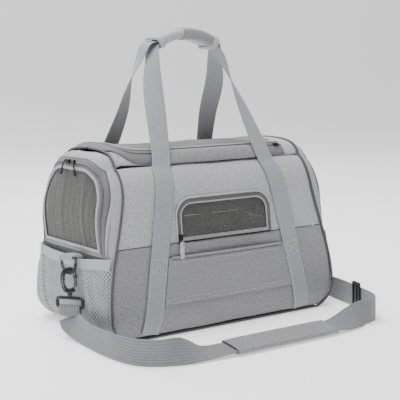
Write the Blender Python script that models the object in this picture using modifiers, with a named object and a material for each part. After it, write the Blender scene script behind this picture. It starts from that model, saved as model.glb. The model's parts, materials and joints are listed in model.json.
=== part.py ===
"""Soft-sided pet carrier bag: sewn shell panels, mesh doors, carry handles and a shoulder strap.

Millimetres are used throughout and turned into metres when a mesh is made.
+X runs along the front towards the right end, -Y is the front and +Z is up.
The origin is the middle of the base on the surface that the bag stands on.
"""
import math

import bmesh
import bpy
from mathutils import Matrix, Vector

MM = 0.001
GAP = 0.3

# Body outline, from the base to the roof
BASE_HALF_LENGTH = 210.0
ROOF_HALF_LENGTH = 175.0
END_CORNER_RADIUS = 40.0
BASE_HALF_WIDTH = 124.0
SHOULDER_HALF_WIDTH = 107.0
FOOT_HALF_WIDTH = 117.0
SHOULDER_Z = 203.0
ROOF_EDGE_Y = 79.0
ROOF_EDGE_Z = 254.0
ROOF_Z = 280.0
WAIST_Z = 139.0
END_BULGE_LOW = 3.0
END_BULGE_HIGH = 32.0

# Cloth, board and cord thicknesses
PANEL = 3.0
MESH = 1.6
WEBBING = 1.8
PIPING_RADIUS = 2.2
SEAM_MARGIN = 2.9

# Openings
WINDOW_HALF_WIDTH = 89.0
WINDOW_TOP_Z = 204.0
WINDOW_CORNER = 28.0
DOOR_HALF_WIDTH = 97.0
DOOR_BOTTOM_Z = 131.0
DOOR_TOP_Z = 262.0
DOOR_CORNER = 64.0
FLAP_LEFT_X = -166.0
FLAP_RIGHT_X = 146.0
FLAP_HALF_WIDTH = 71.0
FLAP_CORNER = 34.0
ZIP_WIDTH = 5.0

# Handle straps
STRAP_WIDTH = 31.0
LEG_FOOT_X = 146.0
LEG_BOX_TOP_Z = 120.5
LEG_SHOULDER_X = 99.0
GRIP_HALF_LENGTH = 58.0
GRIP_Z = 452.0
GRIP_SAG = 17.0
WRAP_HALF_LENGTH = 54.0

# Shoulder strap and its hardware
SHOULDER_WIDTH = 38.0
CLIP_X = 231.0
CLIP_Y = -33.0
RING_BAR_Z = 122.0
RING_HALF_WIDTH = 14.5
RING_DEPTH = 24.0
RING_ROD = 2.0
RING_TURN = math.radians(20.0)
HOOK_ROD = 2.8
HOOK_TOP_Z = RING_BAR_Z - RING_DEPTH + RING_ROD + HOOK_ROD + 1.1
HOOK_TURN = math.radians(66.0)
GATE_X, GATE_FOOT = 8.6, -26.2
LOOP_ROD = 2.3
LOOP_HALF_WIDTH = 21.0
LOOP_TOP_Z = 60.5
LOOP_BAR_Z = 46.0
LOOP_TURN = math.radians(35.0)
STRAP_END_Z = 33.0

COLOURS = {
    "fabric": ((0.42, 0.42, 0.43), 0.9, 0.0),
    "fabric_dark": ((0.32, 0.32, 0.34), 0.9, 0.0),
    "mesh": ((0.22, 0.22, 0.21), 0.8, 0.0),
    "webbing": ((0.38, 0.39, 0.41), 0.75, 0.0),
    "binding": ((0.55, 0.57, 0.60), 0.8, 0.0),
    "piping": ((0.10, 0.10, 0.11), 0.6, 0.0),
    "zip_tape": ((0.33, 0.32, 0.36), 0.7, 0.0),
    "slider": ((0.03, 0.03, 0.03), 0.35, 0.6),
    "plastic": ((0.02, 0.02, 0.022), 0.4, 0.0),
    "rubber": ((0.35, 0.35, 0.36), 0.6, 0.0),
    "board": ((0.12, 0.12, 0.12), 0.7, 0.0),
    "fleece": ((0.62, 0.61, 0.58), 1.0, 0.0),
}


def clear_scene():
    """Empty the scene and make the collections for the parts and the cutters."""
    for item in list(bpy.data.objects):
        bpy.data.objects.remove(item, do_unlink=True)
    parts = bpy.data.collections.new("pet_carrier_bag")
    cutters = bpy.data.collections.new("cutters")
    for collection in (parts, cutters):
        bpy.context.scene.collection.children.link(collection)
    return parts, cutters


PARTS, CUTTERS = clear_scene()


def material(kind):
    """Return the Principled material of one kind of cloth, cord or plastic."""
    if kind in bpy.data.materials:
        return bpy.data.materials[kind]
    colour, roughness, metallic = COLOURS[kind]
    result = bpy.data.materials.new(kind)
    result.use_nodes = True
    shader = result.node_tree.nodes["Principled BSDF"]
    shader.inputs["Base Color"].default_value = (*colour, 1.0)
    shader.inputs["Roughness"].default_value = roughness
    shader.inputs["Metallic"].default_value = metallic
    return result


def own_material(name, kind):
    """Return a copy of a kind's material that belongs to one node."""
    result = material(kind).copy()
    result.name = name
    return result


# ---------------------------------------------------------------- shapes of the body

def smooth(value, start, end):
    """Ease from 0 at start to 1 at end."""
    t = min(max((value - start) / (end - start), 0.0), 1.0)
    return t * t * (3.0 - 2.0 * t)


def half_length(z):
    """Half the front panel's length at height z: rounded low corners, then a taper."""
    return corner_length(z, 0.0) + (ROOF_HALF_LENGTH - BASE_HALF_LENGTH) * smooth(z, 50.0, 245.0)


def corner_length(z, margin):
    """Half length with its round low corner, kept a margin inside the edge."""
    if z >= END_CORNER_RADIUS:
        return BASE_HALF_LENGTH - margin
    radius = END_CORNER_RADIUS - margin
    rise = min(END_CORNER_RADIUS - z, radius)
    return BASE_HALF_LENGTH - END_CORNER_RADIUS + math.sqrt(radius * radius - rise * rise)


def panel_length(z):
    """Half the length of a front or rear panel, which stops short of the piping."""
    return corner_length(z, SEAM_MARGIN) + (ROOF_HALF_LENGTH - BASE_HALF_LENGTH) * smooth(z, 50.0, 245.0)


def section(count_wall=9, count_shoulder=8, count_roof=6):
    """Points (half width, height) up the wall, round the shoulder and over the roof."""
    points = [(FOOT_HALF_WIDTH, 3.0), (FOOT_HALF_WIDTH + 3.0, 14.0), (BASE_HALF_WIDTH - 1.0, 27.0)]
    for i in range(count_wall):
        t = i / (count_wall - 1)
        lean = BASE_HALF_WIDTH + (SHOULDER_HALF_WIDTH - BASE_HALF_WIDTH) * t ** 1.1
        points.append((lean, 41.0 + (SHOULDER_Z - 41.0) * t))
    for i in range(1, count_shoulder + 1):
        angle = math.radians(8.0 + 62.0 * i / count_shoulder)
        low = math.radians(8.0)
        high = math.radians(70.0)
        across = (math.cos(low) - math.cos(angle)) / (math.cos(low) - math.cos(high))
        up = (math.sin(angle) - math.sin(low)) / (math.sin(high) - math.sin(low))
        points.append((SHOULDER_HALF_WIDTH + (ROOF_EDGE_Y - SHOULDER_HALF_WIDTH) * across,
                       SHOULDER_Z + (ROOF_EDGE_Z - SHOULDER_Z) * up))
    for i in range(1, count_roof + 1):
        across = ROOF_EDGE_Y * (1.0 - i / count_roof)
        points.append((across, roof_height(across)))
    return points


def roof_height(y):
    """Height of the roof, a shallow dome with rolled long edges."""
    t = min(abs(y) / ROOF_EDGE_Y, 1.0)
    return ROOF_Z - 9.0 * t * t - (ROOF_Z - 9.0 - ROOF_EDGE_Z) * t ** 9


SECTION = section()
WALL_END = 3 + 9 + 8 - 1


def half_width(z):
    """Half the body's width at height z, read along the section."""
    for (y0, z0), (y1, z1) in zip(SECTION, SECTION[1:]):
        if z0 <= z <= z1:
            return y0 + (y1 - y0) * (z - z0) / (z1 - z0)
    return SECTION[0][0] if z < SECTION[0][1] else 0.0


def end_share(y, z):
    """How far (y, z) lies from the middle of an end, 0, to its piping, 1."""
    centre = 140.0
    best = 0.0
    outline = [(0.0, 0.0)] + SECTION
    direction = Vector((abs(y), z - centre))
    reach = direction.length
    if reach < 1e-6:
        return 0.0
    direction /= reach
    for (y0, z0), (y1, z1) in zip(outline, outline[1:]):
        a = Vector((y0, z0 - centre))
        b = Vector((y1, z1 - centre))
        along = b - a
        cross = direction.x * along.y - direction.y * along.x
        if abs(cross) < 1e-9:
            continue
        distance = (a.x * along.y - a.y * along.x) / cross
        part = (a.x * direction.y - a.y * direction.x) / cross
        if -1e-6 <= part <= 1.000001 and distance > 0.0:
            best = max(best, distance)
    return min(reach / (best - SEAM_MARGIN), 1.0) if best else 1.0


def end_x(y, z):
    """Distance of an end's outside from the middle: the taper plus a pillow-like bulge."""
    bulge = END_BULGE_LOW * smooth(z, 0.0, 45.0)
    bulge += (END_BULGE_HIGH - END_BULGE_LOW) * smooth(z, 95.0, 200.0)
    return half_length(z) + bulge * math.sqrt(max(0.0, 1.0 - end_share(y, z) ** 8))


def end_width(z):
    """Half the width of an end panel at height z, which stops short of the piping."""
    slant = 0.75 * SEAM_MARGIN
    return min(half_width(z) - SEAM_MARGIN, half_width(z + SEAM_MARGIN), half_width(z + slant) - slant)


def end_point(side, y, z, lift):
    """Point on an end's outside, or lifted off it along its outward direction."""
    step = 1.0
    low = max(z - step, 2.0)
    slope_y = (end_x(y + step, z) - end_x(y - step, z)) / (2.0 * step)
    slope_z = (end_x(y, z + step) - end_x(y, low)) / (z + step - low)
    out = Vector((1.0, -slope_y, -slope_z)).normalized()
    return (side * (end_x(y, z) + out.x * lift), y + out.y * lift, z + out.z * lift)


# ---------------------------------------------------------------- builders

def new_object(name, mesh_or_curve, kind, collection=None):
    """Link a named object; a cutter has no kind and is shown as wire."""
    item = bpy.data.objects.new(name, mesh_or_curve)
    (collection or PARTS).objects.link(item)
    if kind:
        item.data.materials.append(own_material(name, kind))
    else:
        item.hide_render = True
        item.display_type = "WIRE"
    return item


def grid_mesh(name, rows, closed=False):
    """Make an open surface from rows of points; closed joins each row's end to its start."""
    bm = bmesh.new()
    grid = [[bm.verts.new(Vector(p) * MM) for p in row] for row in rows]
    for low, high in zip(grid, grid[1:]):
        columns = len(low) if closed else len(low) - 1
        for j in range(columns):
            k = (j + 1) % len(low)
            bm.faces.new((low[j], low[k], high[k], high[j]))
    mesh = bpy.data.meshes.new(name)
    bm.to_mesh(mesh)
    bm.free()
    return mesh


def sheet(name, rows, kind, thickness=PANEL, offset=-1.0, closed=False, flip=False):
    """Make a solid of even thickness from rows of points on its outer face."""
    mesh = grid_mesh(name, rows, closed)
    if flip:
        mesh.flip_normals()
    item = new_object(name, mesh, kind)
    solid = item.modifiers.new("thickness", "SOLIDIFY")
    solid.thickness = thickness * MM
    solid.offset = offset
    solid.use_even_offset = True
    return item


def mirrored(rows, axis):
    """Mirror rows of points across the plane square to an axis."""
    return [[tuple(-c if i == axis else c for i, c in enumerate(p)) for p in row] for row in rows]


def boolean(item, cutter, operation="DIFFERENCE"):
    """Cut a solid with, or keep only what lies inside, a cutter."""
    cut = item.modifiers.new("cut", "BOOLEAN")
    cut.operation = operation
    cut.object = cutter
    return item


def outline_solid(name, loops, depth, matrix, kind=None, collection=None):
    """Extrude flat outlines (the first outside, the rest holes) by a depth, half each way."""
    curve = bpy.data.curves.new(name, "CURVE")
    curve.dimensions = "2D"
    curve.fill_mode = "BOTH"
    curve.extrude = 0.5 * depth * MM
    for loop in loops:
        spline = curve.splines.new("POLY")
        spline.points.add(len(loop) - 1)
        for point, (u, v) in zip(spline.points, loop):
            point.co = (u * MM, v * MM, 0.0, 1.0)
        spline.use_cyclic_u = True
    source = bpy.data.objects.new(name + "_outline", curve)
    bpy.context.scene.collection.objects.link(source)
    graph = bpy.context.evaluated_depsgraph_get()
    mesh = bpy.data.meshes.new_from_object(source.evaluated_get(graph))
    bpy.data.objects.remove(source, do_unlink=True)
    bpy.data.curves.remove(curve)
    bm = bmesh.new()
    bm.from_mesh(mesh)
    bmesh.ops.remove_doubles(bm, verts=bm.verts, dist=0.00001)
    bmesh.ops.recalc_face_normals(bm, faces=bm.faces)
    bm.to_mesh(mesh)
    bm.free()
    mesh.name = name
    item = new_object(name, mesh, kind, collection)
    item.matrix_world = matrix
    return item


def arch(half, bottom, top, corner, steps=7):
    """Outline with a flat bottom and two round top corners."""
    points = [(-half, bottom), (half, bottom)]
    for side in (1, -1):
        for i in range(steps + 1):
            angle = math.radians(90.0 * i / steps)
            if side < 0:
                angle = math.radians(90.0) - angle
            points.append((side * (half - corner + corner * math.cos(angle)),
                           top - corner + corner * math.sin(angle)))
    return points


def rounded_rectangle(width, height, corner, steps=4):
    """Outline of a rectangle about the middle with round corners."""
    points = []
    for quarter in range(4):
        cx = (0.5 * width - corner) * (1 if quarter in (0, 3) else -1)
        cy = (0.5 * height - corner) * (1 if quarter in (0, 1) else -1)
        for i in range(steps + 1):
            angle = math.radians(90.0 * (quarter + i / steps))
            points.append((cx + corner * math.cos(angle), cy + corner * math.sin(angle)))
    return points


def tube(name, points, radius, kind, cyclic=False, resolution=2):
    """Make a round cord or rod along points."""
    curve = bpy.data.curves.new(name, "CURVE")
    curve.dimensions = "3D"
    curve.bevel_depth = radius * MM
    curve.bevel_resolution = resolution
    curve.use_fill_caps = True
    spline = curve.splines.new("POLY")
    spline.points.add(len(points) - 1)
    for point, place in zip(spline.points, points):
        point.co = (*(Vector(place) * MM), 1.0)
    spline.use_cyclic_u = cyclic
    return new_object(name, curve, kind)


def spline_points(points, count):
    """Read count points from a smooth curve through the given points, evenly by length."""
    dense = []
    for i in range(len(points) - 1):
        p0 = Vector(points[max(i - 1, 0)])
        p1 = Vector(points[i])
        p2 = Vector(points[i + 1])
        p3 = Vector(points[min(i + 2, len(points) - 1)])
        for j in range(16):
            t = j / 16.0
            dense.append(0.5 * (2.0 * p1 + (p2 - p0) * t + (2.0 * p0 - 5.0 * p1 + 4.0 * p2 - p3) * t * t
                                + (3.0 * p1 - p0 - 3.0 * p2 + p3) * t ** 3))
    dense.append(Vector(points[-1]))
    lengths = [0.0]
    for a, b in zip(dense, dense[1:]):
        lengths.append(lengths[-1] + (b - a).length)
    result = []
    j = 0
    for i in range(count):
        want = lengths[-1] * i / (count - 1)
        while j < len(dense) - 2 and lengths[j + 1] < want:
            j += 1
        share = (want - lengths[j]) / max(lengths[j + 1] - lengths[j], 1e-9)
        result.append(dense[j].lerp(dense[j + 1], min(max(share, 0.0), 1.0)))
    return result


def ribbon(name, stations, width, kind, thickness=WEBBING, count=None):
    """Make a flat strap from (centre, direction of its width) stations."""
    if count:
        centres = spline_points([centre for centre, _ in stations], count)
        stations = [(centre, width_direction(stations, centre)) for centre in centres]
    rows = []
    for centre, side in stations:
        half = Vector(side).normalized() * 0.5 * width
        rows.append([tuple(Vector(centre) - half), tuple(Vector(centre) + half)])
    return sheet(name, rows, kind, thickness=thickness, offset=0.0)


def width_direction(stations, place):
    """Blend the width directions of the two stations that a place lies between."""
    best = None
    for (a, side_a), (b, side_b) in zip(stations, stations[1:]):
        start = Vector(a)
        run = Vector(b) - start
        share = min(max((Vector(place) - start).dot(run) / run.length_squared, 0.0), 1.0)
        distance = (start + run * share - Vector(place)).length
        if best is None or distance < best[0]:
            best = (distance, Vector(side_a).lerp(Vector(side_b), share))
    return best[1].normalized()


def block(name, size, centre, kind, bevel=0.6, turn=None):
    """Make a small box with rounded edges."""
    mesh = bpy.data.meshes.new(name)
    bm = bmesh.new()
    bmesh.ops.create_cube(bm, size=1.0, matrix=Matrix.Diagonal((*[s * MM for s in size], 1.0)))
    bm.to_mesh(mesh)
    bm.free()
    item = new_object(name, mesh, kind)
    item.matrix_world = Matrix.Translation(Vector(centre) * MM) @ (turn or Matrix.Identity(4))
    edges = item.modifiers.new("edges", "BEVEL")
    edges.width = bevel * MM
    edges.segments = 2
    edges.limit_method = "ANGLE"
    return item


# ---------------------------------------------------------------- where things lie

FRONT_PLANE = Matrix.Rotation(math.radians(90.0), 4, "X")
END_PLANE = Matrix(((0, 0, 1, 0), (1, 0, 0, 0), (0, 1, 0, 0), (0, 0, 0, 1)))
ROOF_PLANE = Matrix.Identity(4)


def wall_rows(z_low, z_high, columns=8):
    """Rows of points on the front wall between two heights, from left to right."""
    heights = [z for _, z in SECTION[:WALL_END + 1] if z_low + 1.0 < z < z_high - 1.0]
    heights = [z_low] + heights + [z_high]
    rows = []
    for z in heights:
        reach = panel_length(z)
        rows.append([(reach * (2.0 * j / columns - 1.0), -half_width(z), z)
                     for j in range(columns + 1)])
    return rows


def leg_x(z):
    """Distance of a handle leg's middle from the bag's middle, at height z."""
    return LEG_FOOT_X + (LEG_SHOULDER_X - LEG_FOOT_X) * (z - 5.0) / (ROOF_EDGE_Z - 5.0)


def wall_normal(z):
    """Outward direction of the front wall at height z."""
    low, high = max(z - 3.0, 4.0), min(z + 3.0, ROOF_EDGE_Z)
    lean = (half_width(high) - half_width(low)) / (high - low)
    return Vector((0.0, -1.0, -lean)).normalized()


def leg_stations(heights, side, lift):
    """Stations of a webbing leg that follows the front wall at some heights."""
    stations = []
    for z in heights:
        low = Vector((side * leg_x(z - 2.0), -half_width(z - 2.0), z - 2.0))
        high = Vector((side * leg_x(z + 2.0), -half_width(z + 2.0), z + 2.0))
        along = (high - low).normalized()
        normal = wall_normal(z)
        centre = Vector((side * leg_x(z), -half_width(z), z)) + normal * lift
        stations.append((centre, along.cross(normal)))
    return stations


def clip_place(side, turn, u, n, z):
    """World place of a clip point: u across, n outward, turned about the upright through the clip."""
    out = n * math.cos(turn) - u * math.sin(turn)
    return (side * (CLIP_X + out), CLIP_Y - n * math.sin(turn) - u * math.cos(turn), z)


# ---------------------------------------------------------------- shell

def make_shell():
    """Front, rear, roof, base and end panels with their openings."""
    outline = arch(WINDOW_HALF_WIDTH, 120.0, WINDOW_TOP_Z, WINDOW_CORNER)
    place = Matrix.Translation((0, -0.115, 0)) @ FRONT_PLANE
    window_cutter = outline_solid("window_cutter", [outline], 60.0, place, collection=CUTTERS)
    lower = wall_rows(6.2, WAIST_Z - 0.3)
    upper = wall_rows(WAIST_Z + 0.3, ROOF_EDGE_Z)
    sheet("front_lower_panel", lower, "fabric_dark")
    boolean(sheet("front_upper_panel", upper, "fabric"), window_cutter)
    sheet("rear_lower_panel", mirrored(lower, 1), "fabric_dark", flip=True)
    sheet("rear_upper_panel", mirrored(upper, 1), "fabric", flip=True)

    rows = []
    for y, z in roof_line():
        reach = half_length(z) - SEAM_MARGIN
        rows.append([(reach * (j / 4.0 - 1.0), y, z) for j in range(9)])
    roof = sheet("roof_frame", rows, "fabric")
    boolean(roof, flap_cutter("roof_cutter", 0.0))

    reach = half_length(0.0) - 1.5
    base = [[(reach * (j / 2.0 - 1.0), y, 0.0) for j in range(5)]
            for y in (-FOOT_HALF_WIDTH + 3.4, 0.0, FOOT_HALF_WIDTH - 3.4)]
    sheet("base_panel", base, "fabric_dark", flip=True)

    for side, label in ((-1, "left"), (1, "right")):
        frame = end_panel(label + "_end_frame", side, PANEL, "fabric")
        cutter = door_cutter(label + "_door_cutter", side, 0.0)
        boolean(frame, cutter)


def roof_line():
    """Points (y, height) over the roof from its front edge to its rear edge."""
    front = [(GAP - ROOF_EDGE_Y, ROOF_EDGE_Z)] + [(-y, z) for y, z in SECTION[WALL_END + 1:]]
    return front + [(-y, z) for y, z in reversed(front[:-1])]


def end_panel(name, side, thickness, kind, heights=None):
    """Make the whole domed end as one sheet; doors and zips are cut from copies of it."""
    heights = heights or [0.0, 3.0, 8.0, 15.0, 25.0, 40.0, 65.0, 95.0, 125.0, 150.0, 170.0, 190.0,
                          208.0, 224.0, 238.0, 250.0, 260.0, 268.0, 273.0, 276.4]
    rows = []
    for z in heights:
        row = []
        for j in range(13):
            y = end_width(z) * math.sin(math.radians(-90.0 + 15.0 * j))
            row.append(end_point(side, y, z, 0.0))
        rows.append(row)
    return sheet(name, rows, kind, thickness=thickness, flip=side < 0)


def door_cutter(name, side, inset, drop=0.0):
    """Prism through an end in the outline of its door, made smaller all round by an inset."""
    loop = arch(DOOR_HALF_WIDTH - inset, DOOR_BOTTOM_Z - drop, DOOR_TOP_Z - inset, DOOR_CORNER - inset)
    place = Matrix.Translation((side * 0.2, 0, 0)) @ END_PLANE
    return outline_solid(name, [loop], 120.0, place, collection=CUTTERS)


def flap_outline(inset, right=0.0):
    """Outline of the roof opening: round at the left, square at the right where the flap hangs."""
    half = FLAP_HALF_WIDTH - inset
    corner = FLAP_CORNER - inset
    left = FLAP_LEFT_X + inset
    points = [(FLAP_RIGHT_X + right, half)]
    for i in range(7):
        angle = math.radians(90.0 + 15.0 * i)
        points.append((left + corner + corner * math.cos(angle), half - corner + corner * math.sin(angle)))
    for i in range(7):
        angle = math.radians(180.0 + 15.0 * i)
        points.append((left + corner + corner * math.cos(angle), corner - half + corner * math.sin(angle)))
    points.append((FLAP_RIGHT_X + right, -half))
    return points


def flap_cutter(name, inset, right=0.0):
    """Prism through the roof in the outline of its opening."""
    place = Matrix.Translation((0, 0, 0.27)) @ ROOF_PLANE
    return outline_solid(name, [flap_outline(inset, right)], 80.0, place, collection=CUTTERS)


def make_piping():
    """Cord round the front face and round the rear face."""
    heights = [279.6] + [z for _, z in reversed(SECTION[3:-1])] + [27.0, 14.0, 7.0]
    side = [(-half_length(z), -max(half_width(z), 0.0), z) for z in heights[1:]]
    start = (-ROOF_HALF_LENGTH, -PIPING_RADIUS - 0.2, ROOF_Z)
    corner = [(-half_length(PIPING_RADIUS + 0.4) + 2.0, -FOOT_HALF_WIDTH - 0.3, PIPING_RADIUS + 0.4)]
    half = [start] + side + corner
    path = half + [(-x, y, z) for x, y, z in reversed(half)]
    tube("front_piping", path, PIPING_RADIUS, "piping")
    tube("rear_piping", [(x, -y, z) for x, y, z in path], PIPING_RADIUS, "piping")


def make_inside():
    """Stiff board and fleece mat on the floor of the cabin."""
    block("base_board", (330.0, 216.0, 2.6), (0.0, 0.0, 4.9), "board", bevel=0.5)
    block("fleece_mat", (348.0, 212.0, 20.0), (0.0, 0.0, 16.8), "fleece", bevel=7.0)


# ---------------------------------------------------------------- window, doors and roof flap

def make_window():
    """Mesh flap in the front opening with its zip, slider and pull tab."""
    rows = wall_rows(WAIST_Z + 1.6, WINDOW_TOP_Z + 8.0)
    place = Matrix.Translation((0, -0.115, 0)) @ FRONT_PLANE
    inner = WINDOW_HALF_WIDTH - ZIP_WIDTH
    corner = WINDOW_CORNER - ZIP_WIDTH
    flap = sheet("front_window", rows, "mesh", thickness=MESH)
    loop = arch(inner - GAP, 120.0, WINDOW_TOP_Z - ZIP_WIDTH - GAP, corner)
    boolean(flap, outline_solid("window_keep", [loop], 60.0, place, collection=CUTTERS), "INTERSECT")
    tape = sheet("window_zip", rows, "zip_tape", thickness=PANEL)
    loop = arch(WINDOW_HALF_WIDTH - GAP, 120.0, WINDOW_TOP_Z - GAP, WINDOW_CORNER)
    boolean(tape, outline_solid("window_zip_keep", [loop], 60.0, place, collection=CUTTERS), "INTERSECT")
    loop = arch(inner, 110.0, WINDOW_TOP_Z - ZIP_WIDTH, corner)
    boolean(tape, outline_solid("window_zip_cut", [loop], 70.0, place, collection=CUTTERS))
    z = WAIST_Z + 8.0
    lean = Matrix.Rotation(math.atan2(-wall_normal(z).z, 1.0), 4, "X")
    x = 0.5 * ZIP_WIDTH - WINDOW_HALF_WIDTH
    block("window_slider", (4.8, 6.4, 9.0), (x, -half_width(z) - 3.9, z), "slider", turn=lean)
    block("window_pull", (7.0, 2.6, 26.0), (x - 1.1, -half_width(z) - 9.5, z - 18.4), "rubber", bevel=1.0)


def make_doors():
    """Mesh doors of the two ends with their zips and sliders."""
    heights = [DOOR_BOTTOM_Z + 0.6, 150.0, 170.0, 190.0, 208.0, 224.0, 238.0, 250.0, 260.0, 268.0]
    for side, label in ((-1, "left"), (1, "right")):
        door = end_panel(label + "_door", side, MESH, "mesh", heights)
        keep = door_cutter(label + "_door_keep", side, ZIP_WIDTH + GAP, drop=10.0)
        boolean(door, keep, "INTERSECT")
        tape = end_panel(label + "_door_zip", side, PANEL, "zip_tape", heights)
        boolean(tape, door_cutter(label + "_zip_keep", side, GAP, drop=10.0), "INTERSECT")
        boolean(tape, door_cutter(label + "_zip_cut", side, ZIP_WIDTH, drop=20.0))
        z = DOOR_TOP_Z - 0.5 * ZIP_WIDTH
        for way, end in ((-1, "front"), (1, "rear")):
            y = way * 8.0
            x = side * (end_x(0.0, z) + 4.4)
            block(f"{label}_door_slider_{end}", (4.0, 9.0, 6.0), (x, y, z + 1.5), "slider")


def make_roof():
    """Mesh roof flap hung at the right with its three-sided zip and slider."""
    rows = [[(-172.0 + 41.0 * j, y, z) for j in range(9)] for y, z in roof_line()]
    flap = sheet("roof_flap", [[p for p in row if p[0] < 160.0] for row in rows], "mesh", thickness=MESH)
    boolean(flap, flap_cutter("flap_keep", ZIP_WIDTH + GAP, right=-1.0), "INTERSECT")
    tape = sheet("roof_zip", rows, "zip_tape", thickness=PANEL)
    boolean(tape, flap_cutter("roof_zip_keep", GAP, right=-GAP), "INTERSECT")
    boolean(tape, flap_cutter("roof_zip_cut", ZIP_WIDTH, right=20.0))
    y = 0.5 * ZIP_WIDTH - FLAP_HALF_WIDTH - 0.7
    block("roof_slider", (9.0, 6.0, 4.0), (FLAP_RIGHT_X - 12.0, y, roof_height(y) + 4.4), "slider")


# ---------------------------------------------------------------- pockets

def make_pockets():
    """Slip pocket on the front and mesh pockets on the ends with their bindings."""
    rows = []
    thickness = 2.0
    for i in range(6):
        z = 49.0 + 70.0 * i / 5
        row = []
        for j in range(9):
            across = j / 4.0 - 1.0
            room = 7.0 * (1.0 - across * across) * smooth(z, 44.0, 96.0)
            x = across * (leg_x(z) - 0.5 * STRAP_WIDTH - 1.2)
            row.append((x, -half_width(z) - GAP - thickness - room, z))
        rows.append(row)
    sheet("front_pocket", rows, "fabric_dark", thickness=thickness)

    for side, label in ((-1, "left"), (1, "right")):
        end_pocket(f"{label}_pocket", side, [12.0, 25.0, 40.0, 65.0, 95.0, 112.0], "mesh")
        end_pocket(f"{label}_pocket_binding", side, [112.4, 121.5], "binding")


def end_pocket(name, side, heights, kind):
    """Make a baggy sheet over the low part of an end; its top edge dips in the middle."""
    rows = []
    for height in heights:
        row = []
        for j in range(13):
            across = math.sin(math.radians(-78.0 + 13.0 * j))
            z = height - 3.0 * (1.0 - across * across) * smooth(height, 60.0, 110.0)
            room = 5.6 * (1.0 - across ** 4) * smooth(z, 40.0, 104.0)
            row.append(end_point(side, across * end_width(z), z, MESH + 0.9 + room))
        rows.append(row)
    sheet(name, rows, kind, thickness=MESH, flip=side < 0)


# ---------------------------------------------------------------- carry handles

def make_handles():
    """Sewn legs, the two free webbing handles and the padded wrap that holds them together."""
    sewn_heights = [9.0, 14.0, 27.0, 41.0, 61.0, 81.0, 101.0, LEG_BOX_TOP_Z]
    for side, end in ((-1, "left"), (1, "right")):
        stations = leg_stations(sewn_heights, side, GAP + 0.5 * WEBBING)
        ribbon(f"front_{end}_leg", stations, STRAP_WIDTH, "webbing")
        mirror = [((c[0], -c[1], c[2]), (s[0], -s[1], s[2])) for c, s in stations]
        ribbon(f"rear_{end}_leg", mirror, STRAP_WIDTH, "webbing")

    for way, label, rise in ((1, "front", -2.1), (-1, "rear", 2.1)):
        free = leg_stations([LEG_BOX_TOP_Z + 0.7, 140.0, 165.0, 190.0, 205.0, 218.0, 230.0, 240.0, 249.0], 1,
                            0.9 + 0.5 * WEBBING)
        base_side = free[-1][1]
        along = Vector((0.0, 1.0, 0.0))
        out = 3.0 * rise if rise > 0 else 0.0
        free += [(Vector((95.0, -80.0, 268.0)), base_side),
                 (Vector((85.0, -53.0, 324.0)), base_side.lerp(along, 0.25)),
                 (Vector((76.0 + out, -29.0, 376.0)), base_side.lerp(along, 0.55)),
                 (Vector((67.0 + out, -15.0, 412.0)), base_side.lerp(along, 0.85)),
                 (Vector((GRIP_HALF_LENGTH + 1.0 + out, -5.0, 429.0 + out)), along)]
        for x in (50.0, 38.0, 20.0):
            z = GRIP_Z + rise - GRIP_SAG * (x / GRIP_HALF_LENGTH) ** 2
            free.append((Vector((x, 0.0, z)), along))
        free = [(Vector((c.x, way * c.y, c.z)), Vector((s.x, way * s.y, s.z))) for c, s in free]
        other = [(Vector((-c.x, c.y, c.z)), Vector((-s.x, s.y, s.z))) for c, s in reversed(free)]
        middle = [(Vector((0.0, 0.0, GRIP_Z + rise)), Vector((0.0, way, 0.0)))]
        ribbon(f"{label}_handle", free + middle + other, STRAP_WIDTH, "webbing")

    rows = []
    for i in range(11):
        x = WRAP_HALF_LENGTH * (i / 5.0 - 1.0)
        slope = -2.0 * GRIP_SAG * x / GRIP_HALF_LENGTH ** 2
        up = Vector((-slope, 0.0, 1.0)).normalized()
        centre = Vector((x, 0.0, GRIP_Z - GRIP_SAG * (x / GRIP_HALF_LENGTH) ** 2))
        row = []
        for y, rise in wrap_section():
            row.append(tuple(centre + up * rise + Vector((0.0, y, 0.0))))
        rows.append(row)
    sheet("handle_wrap", rows, "fabric_dark", thickness=3.0)


def wrap_section(half=20.0, height=7.2, corner=5.0):
    """Open outline of the wrap: from its lower rear lip round the front to its upper rear lip."""
    points = [(half - 1.0, -height), (0.0, -height)]
    for i in range(9):
        angle = math.radians(270.0 - 22.5 * i)
        points.append((corner * math.cos(angle) - half + corner, height * math.sin(angle)))
    points += [(0.0, height), (half - 1.0, height)]
    return points


# ---------------------------------------------------------------- shoulder strap

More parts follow.
